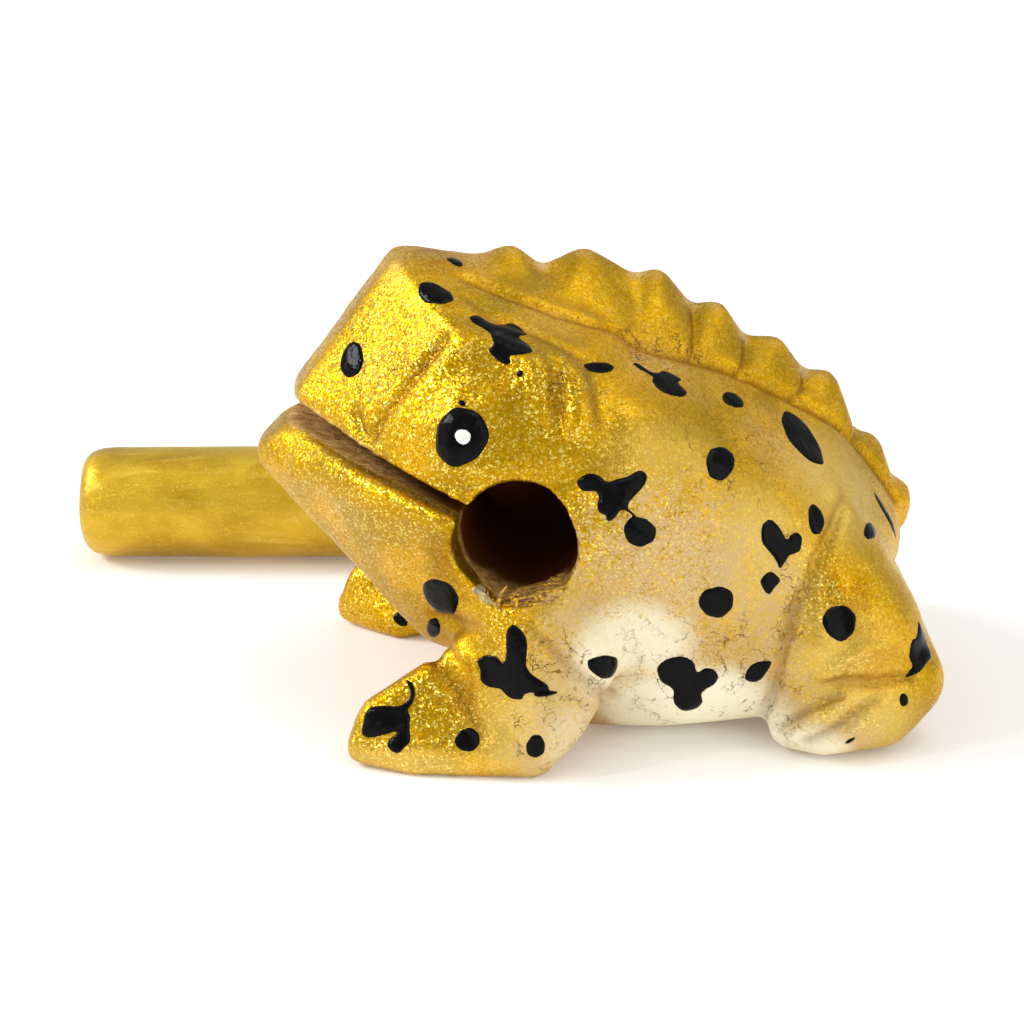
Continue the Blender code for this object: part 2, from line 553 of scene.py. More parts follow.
@dataclass(frozen=True)
class Bore:
    """The drilled side bores, which meet behind the mouth."""

    radius: float = 6.7
    y: float = -11.15
    z: float = 26.0
    sweep: float = 13.0
    cheek_x: float = 26.0
    start_x: float = 34.0
    length: float = 38.0
    sides: int = 96
    wall_slack: float = 0.45
    end_slack: float = 0.5
    rim_parts: int = 60

    def axis(self, side: Side) -> tuple[Vector, Vector]:
        """Return where a bore starts outside the cheek, in mm, and its direction inward."""
        slope = math.tan(math.radians(self.sweep))
        start = Vector((side.value * self.start_x, self.y - (self.start_x - self.cheek_x) * slope, self.z))
        return start, Vector((-side.value, slope, 0.0)).normalized()

    def drill(self, side: Side) -> bpy.types.Object:
        """Make the cutter of one bore."""
        start, run = self.axis(side)
        shape = bmesh.new()
        place = Matrix.Translation((start + run * 0.5 * self.length) * MM)
        turn = run.to_track_quat("Z", "Y").to_matrix().to_4x4()
        bmesh.ops.create_cone(
            shape, cap_ends=True, segments=self.sides, radius1=self.radius * MM,
            radius2=self.radius * MM, depth=self.length * MM, matrix=place @ turn,
        )
        return link_mesh("drill", shape)

    def about_axis(self, points: np.ndarray, side: Side) -> tuple[np.ndarray, np.ndarray]:
        """Return how far along a bore's axis each point lies, and its spoke out from the axis."""
        start, run = self.axis(side)
        offset = points - np.array(start)
        along = offset @ np.array(run)
        return along, offset - along[:, None] * np.array(run)

    def wall_gap(self, points: np.ndarray) -> np.ndarray:
        """Return how far each point is from the nearest bore wall, in mm."""
        nearest = np.full(len(points), -NOWHERE)
        for side in Side:
            along, spoke = self.about_axis(points, side)
            gap = np.abs(np.linalg.norm(spoke, axis=1) - self.radius)
            nearest = np.where(along < self.length, np.minimum(nearest, gap), nearest)
        return nearest

    def depth_inside(self, points: np.ndarray) -> np.ndarray:
        """Return how deep behind its bore's rim each point of the wall lies, in mm, or NOWHERE."""
        inside = np.full(len(points), NOWHERE)
        parts = self.rim_parts
        for side in Side:
            along, spoke = self.about_axis(points, side)
            reach = self.radius + self.wall_slack
            within = (np.linalg.norm(spoke, axis=1) < reach) & (along < self.length + self.end_slack)
            part = np.floor(np.arctan2(spoke[:, 2], spoke[:, 1]) / math.tau * parts).astype(int) % parts
            rim = np.full(parts, self.length)
            np.minimum.at(rim, part[within], along[within])
            inside = np.where(within, np.maximum(inside, along - rim[part]), inside)
        return inside


@dataclass(frozen=True)
class Mouth:
    """The saw cut that parts the lips: where its back and front are, and their low and high levels."""

    half_width: float = 34.0
    rear: Point = (-9.0, 27.1, 28.2)
    front: Point = (-46.0, 37.6, 40.6)

    def levels(self, y: np.ndarray) -> tuple[np.ndarray, np.ndarray]:
        """Return the cut's low and high levels at given distances back."""
        share = (y - self.rear[0]) / (self.front[0] - self.rear[0])
        low = self.rear[1] + share * (self.front[1] - self.rear[1])
        return low, self.rear[2] + share * (self.front[2] - self.rear[2])

    def nearness(self, points: np.ndarray, reach: float) -> np.ndarray:
        """Return 1 at the cut, falling to 0 at a reach above or below it."""
        low, high = self.levels(points[:, 1])
        gap = np.maximum(low - points[:, 2], points[:, 2] - high)
        return (1.0 - smoothstep(gap, 0.2 * reach, reach)) * (points[:, 1] < self.rear[0])

    def saw(self) -> bpy.types.Object:
        """Make the cutter that parts the lips."""
        shape = bmesh.new()
        corners = [
            shape.verts.new(Vector((side.value * self.half_width, end[0], height)) * MM)
            for side in Side
            for end in (self.rear, self.front)
            for height in end[1:]
        ]
        bmesh.ops.convex_hull(shape, input=corners, use_existing_faces=False)
        return link_mesh("lip_saw", shape)


@dataclass
class FrogCarving:
    """The frog's body: masses blended into one block, drilled, sawn and detailed."""

    upper_head: tuple[Ball, ...] = (
        (2.6, -32.7, 36.9, 1.3), (12.2, -25.4, 33.6, 1.8), (2.0, -21.4, 51.2, 1.9),
        (13.6, -16.0, 46.9, 1.1), (18.2, -16.0, 37.5, 3.6), (20.6, -17.2, 34.0, 2.0),
        (18.8, -7.0, 43.4, 1.7), (3.0, -8.0, 48.6, 2.4), (19.0, -2.0, 34.0, 4.5), (10.0, 0.0, 42.0, 4.0),
    )
    lower_jaw: tuple[Ball, ...] = (
        (1.4, -36.2, 30.0, 2.2), (3.2, -34.4, 32.8, 1.2), (12.8, -27.6, 32.4, 1.6),
        (15.0, -26.6, 30.0, 2.2), (22.6, -17.4, 29.0, 2.4), (4.6, -31.2, 27.8, 2.4),
        (8.6, -23.8, 21.0, 3.0), (15.2, -17.4, 20.0, 4.0), (10.8, -17.6, 13.2, 3.6), (20.5, -6.0, 26.0, 6.5),
        (17.0, -9.0, 14.0, 5.0),
    )
    trunk: tuple[Ball, ...] = (
        (18.5, 0.0, 27.0, 8.5), (17.0, 1.0, 36.0, 5.0), (16.5, 10.0, 20.0, 10.0),
        (13.0, 21.5, 19.0, 10.0), (6.0, 28.4, 19.6, 7.2), (7.0, -8.0, 42.5, 5.0), (6.5, 3.0, 40.5, 4.5),
        (11.0, 12.0, 33.0, 5.0), (5.0, 14.0, 36.0, 4.5), (3.5, 25.0, 29.5, 4.5), (11.5, 8.0, 5.7, 6.2),
        (9.0, 21.0, 6.2, 6.8), (12.0, -12.0, 14.0, 6.0), (10.5, -1.0, 5.8, 6.3), (16.8, 8.0, 9.4, 7.4),
        (15.4, 16.0, 9.0, 7.2),
    )
    upper_arm: tuple[Ball, ...] = (
        (19.0, -9.0, 17.0, 7.0), (23.0, -4.0, 13.0, 5.0), (25.2, -7.0, 6.0, 3.8),
        (25.0, -9.2, 2.5, 3.0), (20.0, -13.0, 10.0, 4.0),
    )
    front_foot: tuple[Ball, ...] = (
        (25.2, -9.2, 2.7, 3.2), (20.4, -17.8, 10.8, 2.0), (21.4, -27.6, 1.9, 1.8), (23.8, -22.0, 1.4, 1.9),
        (16.5, -21.5, 1.4, 1.9), (18.0, -12.0, 6.0, 5.0), (21.5, -26.2, 6.2, 1.6),
    )
    thigh: tuple[Ball, ...] = (
        (13.5, 23.5, 24.0, 5.5), (18.8, 28.4, 13.0, 7.0), (20.0, 22.0, 12.0, 6.5), (13.0, 28.8, 17.0, 5.0),
    )
    hind_foot: tuple[Ball, ...] = (
        (19.6, 32.8, 7.4, 5.2), (23.2, 24.0, 4.8, 4.6), (22.0, 20.4, 3.2, 2.9), (21.8, 30.0, 4.8, 4.6),
        (16.0, 24.0, 4.6, 4.8), (17.0, 31.8, 12.6, 4.0),
    )
    teeth: tuple[Tooth, ...] = (
        Tooth(-9.2, 53.5), Tooth(-0.8, 53.0), Tooth(7.4, 50.4), Tooth(14.3, 46.4),
        Tooth(21.3, 42.2), Tooth(27.4, 37.9), Tooth(33.1, 30.2, 1.1), Tooth(37.0, 24.2, 1.0),
    )
    notches: tuple[Notch, ...] = (
        Notch(-14.4, 51.1, 5.5, 50.4), Notch(-5.7, 50.9, 9.5, 46.8), Notch(4.9, 49.8, 9.4, 43.4),
        Notch(11.3, 46.1, 7.8, 41.5), Notch(17.3, 42.1, 6.5, 38.8), Notch(24.5, 38.0, 5.2, 34.8),
        Notch(30.3, 30.9, 3.8, 29.4), Notch(34.9, 25.1, 3.0, 23.6), Notch(36.4, 20.4, 2.0, 20.0),
    )
    bore: Bore = field(default_factory=Bore)
    mouth: Mouth = field(default_factory=Mouth)
    strokes: tuple[Stroke, ...] = (
        # Snout groove, the fold behind it, and the short fold that meets the lip
        Stroke(((13.9, -17.3, 46.1), (13.9, -19.1, 43.4), (13.8, -21.9, 40.1), (13.5, -24.0, 37.1),
                (13.8, -25.6, 35.2)), 1.0, -0.75),
        Stroke(((16.0, -16.0, 46.1), (16.0, -18.4, 43.2), (16.0, -20.9, 39.8), (15.4, -23.4, 36.6)),
               2.3, 0.45),
        Stroke(((10.8, -27.0, 37.4), (11.9, -26.8, 36.2), (13.2, -26.2, 35.0)), 0.8, -0.55),
        # Brow edge, and the soft folds between the eye and the shoulder
        Stroke(((14.3, -16.2, 47.5), (16.0, -13.3, 46.9), (17.7, -10.5, 46.0), (18.8, -8.3, 45.4)),
               2.0, 0.30),
        Stroke(((18.0, -12.4, 43.6), (19.6, -10.8, 42.0), (20.6, -10.6, 39.8)), 3.0, -0.30),
        Stroke(((19.3, -8.5, 45.5), (21.0, -7.9, 42.9), (21.6, -7.4, 40.0)), 1.5, 0.32),
        Stroke(((19.2, -6.0, 44.5), (20.7, -6.0, 41.7), (21.8, -6.2, 38.6)), 1.5, -0.65),
        Stroke(((19.6, -3.4, 43.5), (21.0, -3.3, 41.7), (22.4, -3.6, 39.0)), 2.6, 1.15),
        # Foot of the ridge, the back of the head, and the cracks down between the teeth
        Stroke(((5.6, -14.4, 50.4), (8.5, -8.8, 48.4), (9.5, -5.7, 46.8), (9.6, -1.4, 45.3), (9.4, 4.0, 43.6),
                (8.4, 9.0, 42.0), (7.0, 14.0, 40.2), (6.4, 17.5, 38.7), (5.6, 22.0, 36.2),
                (4.4, 27.4, 32.4), (3.6, 31.0, 28.8), (2.8, 35.0, 23.2)), 1.3, -0.6),
        Stroke(((9.0, -14.6, 49.4), (12.2, -12.4, 48.4), (14.8, -7.6, 46.8), (16.6, -3.6, 44.6)), 1.2, -0.35),
        Stroke(((1.0, 11.4, 45.6), (4.0, 11.0, 43.6), (7.8, 10.6, 41.6)), 0.9, -0.6),
        Stroke(((1.0, 17.4, 41.8), (3.6, 17.0, 40.4), (6.6, 16.2, 39.2)), 0.9, -0.6),
        Stroke(((1.0, 24.6, 37.8), (3.0, 24.2, 36.8), (5.4, 22.6, 35.6)), 0.9, -0.6),
        Stroke(((0.8, 30.4, 30.8), (2.6, 30.2, 30.0), (4.4, 28.8, 30.8)), 0.9, -0.5),
        # Front leg: folds at the throat and wrist, the foot's lower rim, and the crease behind the arm
        Stroke(((18.6, -19.8, 12.4), (21.0, -18.3, 10.6), (22.9, -16.6, 8.8), (24.0, -15.7, 6.9),
                (25.2, -14.4, 4.6)), 1.5, -0.75),
        Stroke(((17.4, -17.7, 13.8), (19.1, -16.2, 13.2), (23.0, -14.9, 12.4), (24.4, -14.4, 9.6)),
               1.5, 0.55),
        Stroke(((16.2, -18.6, 15.4), (19.0, -16.6, 15.4), (22.6, -14.4, 16.0)), 1.5, -0.55),
        Stroke(((22.8, -28.6, 2.9), (24.5, -25.4, 2.6), (25.7, -20.5, 3.7), (26.7, -16.1, 3.3)), 1.2, 0.40),
        Stroke(((25.5, -9.6, 17.7), (26.3, -7.1, 15.2), (27.6, -4.3, 12.4), (26.1, -1.5, 9.6),
                (22.0, -0.5, 6.4)), 1.3, -0.60),
        # Hind leg: front edge of the thigh, the folds above the foot, and the toes
        Stroke(((15.1, 26.4, 27.4), (18.1, 24.6, 25.4), (21.3, 22.1, 22.4), (22.6, 20.2, 18.5),
                (24.0, 19.2, 14.1), (24.0, 18.6, 10.4), (20.4, 17.6, 4.0)), 1.1, -0.60),
        Stroke(((18.1, 27.2, 25.8), (22.2, 25.0, 22.6), (24.2, 23.4, 18.7), (25.4, 22.2, 14.8)), 3.0, 0.45),
        Stroke(((22.4, 23.2, 20.6), (23.8, 24.2, 17.6), (24.6, 25.4, 14.0)), 2.0, -0.35),
        Stroke(((25.4, 24.0, 9.7), (25.1, 26.0, 9.5), (24.5, 29.0, 9.0), (23.6, 32.4, 8.9)), 1.1, -0.70),
        Stroke(((25.4, 23.3, 10.8), (26.1, 25.5, 12.6), (25.7, 27.9, 13.8), (25.2, 30.6, 14.3)), 1.3, 0.40),
        Stroke(((24.0, 18.8, 3.9), (25.7, 20.5, 6.0), (25.8, 24.6, 7.8)), 0.9, -0.70),
        Stroke(((26.0, 21.2, 3.0), (27.0, 23.4, 4.6), (26.7, 25.8, 6.0), (25.7, 28.5, 7.3)), 0.9, -0.70),
        Stroke(((25.2, 19.6, 3.4), (26.2, 22.4, 6.2), (26.4, 25.4, 7.6)), 1.3, 0.50),
        Stroke(((26.8, 23.6, 2.4), (27.0, 26.0, 4.6), (26.2, 28.6, 5.8)), 1.5, 0.35),
    )
    rough_grid: float = 0.7
    rough_smooth: int = 5
    grid: float = 0.52
    grid_smooth: int = 2
    full_crease: float = 0.75
    lumps: float = 0.16
    lump_size: float = 5.0
    chatter: float = 0.05
    chatter_size: float = 1.6

    def build(self) -> bpy.types.Object:
        """Make the finished body mesh."""
        body = self.block()
        self.cut(body)
        remesh(body, self.grid, self.grid_smooth)
        self.detail(body)
        return body

    def block(self) -> bpy.types.Object:
        """Blend the masses into one softened block."""
        shape = bmesh.new()
        for balls in (self.upper_head, self.lower_jaw, self.trunk):
            skin(shape, balls + mirrored(balls))
        for balls in (self.upper_arm, self.front_foot, self.thigh, self.hind_foot):
            skin(shape, balls)
            skin(shape, mirrored(balls))
        for tooth, ahead, behind in zip(self.teeth, self.notches, self.notches[1:]):
            balls = tooth.balls(ahead, behind)
            skin(shape, balls + mirrored(balls))
        body = link_mesh("painted_body", shape)
        remesh(body, self.rough_grid, self.rough_smooth)
        return body

    def cut(self, body: bpy.types.Object) -> None:
        """Sand the underside flat, saw the mouth and drill the bores."""
        drills = [self.bore.drill(side) for side in Side]
        for tool in (self.sander(), self.mouth.saw(), *drills):
            step = body.modifiers.new("cut", "BOOLEAN")
            step.operation = "DIFFERENCE"
            step.solver = "EXACT"
            step.object = tool
            settle(body)
            bpy.data.objects.remove(tool)

    def sander(self) -> bpy.types.Object:
        """Make the block that sands the feet and belly flat."""
        shape = bmesh.new()
        size = Matrix.Translation((0.0, 0.0, -0.005)) @ Matrix.Diagonal((0.12, 0.12, 0.01, 1.0))
        bmesh.ops.create_cube(shape, size=1.0, matrix=size)
        return link_mesh("sander", shape)

    def detail(self, body: bpy.types.Object) -> None:
        """Press the tool strokes into the surface, leave it slightly uneven and ease its edges."""
        points = coordinates(body)
        normals = vertex_normals(body)
        moved = points.copy()
        surface = BVHTree.FromObject(body, bpy.context.evaluated_depsgraph_get())
        # Crease depth from the pressed strokes; the finish turns it into painted shade.
        crease = np.zeros(len(points))
        for stroke in self.strokes:
            for side in Side:
                move = stroke.press(points, normals, stroke.laid_on(surface, side))
                moved += move
                if stroke.depth < 0.0:
                    crease = np.maximum(crease, np.linalg.norm(move, axis=1) / self.full_crease)
        store_field(body, Zone.CREASE, crease)
        outer = (self.bore.depth_inside(points) < -1.0) & (points[:, 2] > FLAT_BELOW)
        free = outer * (1.0 - self.mouth.nearness(points, 1.4))
        uneven = self.lumps * rolling(points, self.lump_size, 3.0)
        uneven += self.chatter * rolling(points, self.chatter_size, 9.0)
        moved = points + (moved - points + normals * uneven[:, None]) * free[:, None]
        moved[:, 2] = np.where(points[:, 2] < FLAT_BELOW, points[:, 2], np.maximum(moved[:, 2], 0.3))
        bore_gap = self.bore.wall_gap(points)
        sharp_parts = np.maximum(self.mouth.nearness(points, 1.3), 1.0 - smoothstep(bore_gap, 0.7, 1.5))
        store_coordinates(body, self.eased(body, moved, sharp_parts))

    @staticmethod
    def eased(body: bpy.types.Object, points: np.ndarray, where: np.ndarray, passes: int = 12,
              sharp: float = 0.035) -> np.ndarray:
        """Round off the sharpest edges, and leave the rest alone.

        Args:
            body: The mesh, for its edges.
            points: Its vertices, in mm.
            where: How much each vertex may move, 0 to 1.
            passes: Smoothing passes.
            sharp: How far a vertex must stand off its neighbours to be moved, in mm.

        Returns:
            The moved vertices.
        """
        ends = np.empty(len(body.data.edges) * 2, int)
        body.data.edges.foreach_get("vertices", ends)
        first, second = ends.reshape(-1, 2).T
        count = np.bincount(ends, minlength=len(points))[:, None]
        standing = points[:, 2] < FLAT_BELOW
        for _ in range(passes):
            total = np.zeros_like(points)
            for axis in range(3):
                total[:, axis] = np.bincount(first, points[second, axis], len(points))
                total[:, axis] += np.bincount(second, points[first, axis], len(points))
            pull = total / count - points
            size = np.linalg.norm(pull, axis=1)
            share = 0.5 * where * smoothstep(size, sharp, 3.0 * sharp)
            share[standing] = 0.0
            points = points + pull * share[:, None]
        return points


@dataclass(frozen=True)
class Patch:
    """A soft-edged area of one paint field, mirrored to both sides."""

    zone: Zone
    centre: Point
    reach: Point
    strength: float = 1.0

    def cover(self, points: np.ndarray) -> np.ndarray:
        """Return the patch's strength at each point."""
        total = np.zeros(len(points))
        for side in Side:
            centre = np.array((side.value * self.centre[0], *self.centre[1:]))
            gap = np.linalg.norm((points - centre) / np.array(self.reach), axis=1)
            total = np.maximum(total, 1.0 - smoothstep(gap, 0.25, 1.05))
        return self.strength * total


@dataclass
class PaintMap:
    """Where the gold is thin, worn, stained or missing, and where shade and glints are painted, stored as
    fields on the body.
    """

    carving: FrogCarving
    ragged: float = 0.7
    patches: tuple[Patch, ...] = (
        # Cream ground: belly, flank, elbow, toes and the front of the ridge
        Patch(Zone.CREAM, (24.0, 8.5, 1.0), (18.0, 22.0, 19.0), 1.1),
        Patch(Zone.CREAM, (27.0, 2.0, 14.0), (12.0, 15.0, 13.0), 0.85),
        Patch(Zone.CREAM, (28.0, 6.0, 23.0), (13.0, 18.0, 17.0), 0.6),
        Patch(Zone.CREAM, (28.5, -4.0, 4.0), (8.0, 11.0, 13.0), 0.7),
        Patch(Zone.CREAM, (27.0, 21.0, 1.0), (9.0, 12.0, 9.0), 0.85),
        Patch(Zone.CREAM, (24.0, 17.0, 16.0), (6.0, 7.0, 14.0), 0.50),
        Patch(Zone.CREAM, (0.0, 12.0, 0.0), (20.0, 24.0, 6.0), 0.9),
        Patch(Zone.CREAM, (12.0, 6.0, 43.0), (4.0, 8.0, 4.0), 0.30),
        # A thin pale wash of gold: hind leg, rear flank and forearm
        Patch(Zone.PALE, (26.0, 25.0, 3.0), (9.0, 13.0, 10.0), 0.95),
        Patch(Zone.PALE, (26.0, 24.0, 12.0), (8.0, 10.0, 9.0), 0.6),
        Patch(Zone.PALE, (24.0, 16.0, 22.0), (9.0, 9.0, 15.0), 0.7),
        Patch(Zone.PALE, (14.0, 27.0, 28.0), (11.0, 11.0, 10.0), 0.75),
        Patch(Zone.PALE, (16.0, 34.0, 18.0), (9.0, 8.0, 12.0), 0.65),
        Patch(Zone.PALE, (28.0, -8.0, 6.0), (8.0, 11.0, 12.0), 0.85),
        Patch(Zone.PALE, (27.0, -4.0, 17.0), (7.0, 7.0, 9.0), 0.6),
        Patch(Zone.PALE, (22.0, 6.0, 35.0), (7.0, 10.0, 6.0), 0.35),
        Patch(Zone.PALE, (24.0, -22.0, 1.5), (8.0, 12.0, 3.0), 0.7),
        # Worn tan paint: along the back, the rump and the top of the snout
        Patch(Zone.TAN, (12.0, 8.0, 41.5), (6.0, 15.0, 6.0), 0.5),
        Patch(Zone.TAN, (13.0, 21.0, 32.5), (8.0, 11.0, 7.0), 0.85),
        Patch(Zone.TAN, (13.0, 33.0, 20.0), (9.0, 7.0, 9.0), 0.35),
        Patch(Zone.TAN, (0.0, -22.5, 52.0), (9.0, 3.4, 4.0), 0.75),
        Patch(Zone.TAN, (12.0, -6.0, 47.5), (5.0, 7.0, 2.6), 0.35),
        Patch(Zone.TAN, (0.0, -13.0, 51.0), (7.0, 3.0, 3.5), 0.7),
        # Orange-brown stains: the ridge's foot, the crown and the hollows of the hind leg
        Patch(Zone.WARM, (10.8, 2.0, 44.3), (2.8, 12.0, 2.6), 0.85),
        Patch(Zone.WARM, (0.0, -17.0, 52.0), (8.0, 4.0, 3.0), 0.7),
        Patch(Zone.WARM, (23.6, 25.4, 19.0), (3.4, 4.0, 5.0), 0.7),
        Patch(Zone.WARM, (25.6, 28.5, 12.4), (4.0, 4.5, 2.2), 0.6),
        Patch(Zone.WARM, (24.5, -16.5, 9.5), (3.0, 3.0, 4.0), 0.5),
        # Thick glitter with painted glints: snout, cheek, shoulder, paw, and streaks on the hind leg
        Patch(Zone.SHEEN, (14.0, -24.0, 36.0), (26.0, 22.0, 26.0), 1.0),
        Patch(Zone.SHEEN, (21.0, -6.0, 41.0), (8.0, 10.0, 10.0), 0.9),
        Patch(Zone.SHEEN, (23.0, -22.0, 6.0), (12.0, 12.0, 12.0), 1.0),
        Patch(Zone.SHEEN, (26.0, -12.0, 17.0), (6.0, 5.0, 9.0), 1.0),
        Patch(Zone.SHEEN, (27.0, 2.0, 26.0), (8.0, 14.0, 13.0), 0.8),
        Patch(Zone.SHEEN, (23.6, 22.6, 20.0), (4.0, 4.0, 7.0), 1.0),
        Patch(Zone.SHEEN, (26.6, 23.4, 6.4), (3.0, 5.0, 2.6), 1.0),
        Patch(Zone.SHEEN, (27.0, 27.0, 4.8), (3.0, 4.0, 2.6), 0.9),
        Patch(Zone.SHEEN, (26.0, 25.6, 11.6), (3.0, 4.0, 2.4), 0.9),
        # Shade just outside the front of the bore
        Patch(Zone.DARK, (21.5, -18.4, 24.6), (5.0, 2.6, 7.0), 0.42),
        # Crazed paint
        Patch(Zone.CRAZE, (27.5, -6.0, 9.0), (8.0, 9.0, 12.0), 1.0),
        Patch(Zone.CRAZE, (24.0, 10.0, 8.0), (14.0, 16.0, 14.0), 0.75),
        Patch(Zone.CRAZE, (10.0, 8.0, 42.5), (6.0, 16.0, 5.0), 0.9),
        Patch(Zone.CRAZE, (18.0, 14.0, 34.0), (8.0, 12.0, 9.0), 0.6),
        Patch(Zone.CRAZE, (23.6, 19.4, 18.0), (3.6, 3.4, 14.0), 1.0),
        Patch(Zone.CRAZE, (16.0, 34.0, 18.0), (8.0, 8.0, 14.0), 0.6),
        Patch(Zone.CRAZE, (13.0, -21.0, 42.5), (3.0, 6.0, 6.0), 0.8),
        Patch(Zone.CRAZE, (20.0, -4.0, 43.0), (5.0, 6.0, 5.0), 0.6),
    )

    def ridge_patches(self) -> list[Patch]:
        """Return the worn tips of the teeth and the pale notches between them."""
        tips = [
            Patch(Zone.TAN, (0.0, tooth.y, tooth.z + 0.2), (3.2, 2.6, 2.4), 0.8)
            for tooth in self.carving.teeth
        ]
        valleys = [
            Patch(Zone.CREAM, (0.0, notch.y, notch.z + 0.3), (3.4, 1.7, 2.0), 0.62)
            for notch in self.carving.notches[1:]
        ]
        return tips + valleys

    def apply(self, body: bpy.types.Object) -> None:
        """Store every paint field on the body."""
        points = coordinates(body)
        fields = {zone: np.zeros(len(points)) for zone in Zone if zone is not Zone.CREASE}
        for patch in (*self.patches, *self.ridge_patches()):
            fields[patch.zone] = np.maximum(fields[patch.zone], patch.cover(points))
        depth = self.carving.bore.depth_inside(points)
        depth = depth + self.ragged * rolling(points, 1.6, 5.0)
        ahead = smoothstep(-points[:, 1], 12.0, 16.5)
        below = smoothstep(self.carving.bore.z - points[:, 2], 3.5, 5.5) * (1.0 - ahead)
        reach = 1.0 + 2.6 * ahead
        bare = smoothstep(depth, reach - 0.3, reach + 0.9)
        # Painted shade: each bore's wall darkens with depth, starting deeper on its lower side.
        dark = smoothstep(depth, reach + 0.2 + 2.5 * below, reach + 2.6 + 5.0 * below)
        lips = self.inside_lips(points)
        fields[Zone.BARE] = np.maximum(bare, lips)
        fields[Zone.DARK] = np.maximum(fields[Zone.DARK], dark)
        # Painted shade: the mouth slit darkens toward its back.
        fields[Zone.DARK] = np.maximum(fields[Zone.DARK], lips * smoothstep(points[:, 1], -27.0, -17.0))
        for zone, values in fields.items():
            store_field(body, zone, values)

    def inside_lips(self, points: np.ndarray) -> np.ndarray:
        """Return how far inside the lips' painted rims each point lies, 0 to 1."""
        rim_x = np.interp(points[:, 1], (-38.0, -35.0, -28.0, -17.0), (0.0, 4.0, 13.5, 23.0))
        within = 1.0 - smoothstep(np.abs(points[:, 0]), rim_x - 1.6, rim_x - 0.4)
        return self.carving.mouth.nearness(points, 0.7) * within


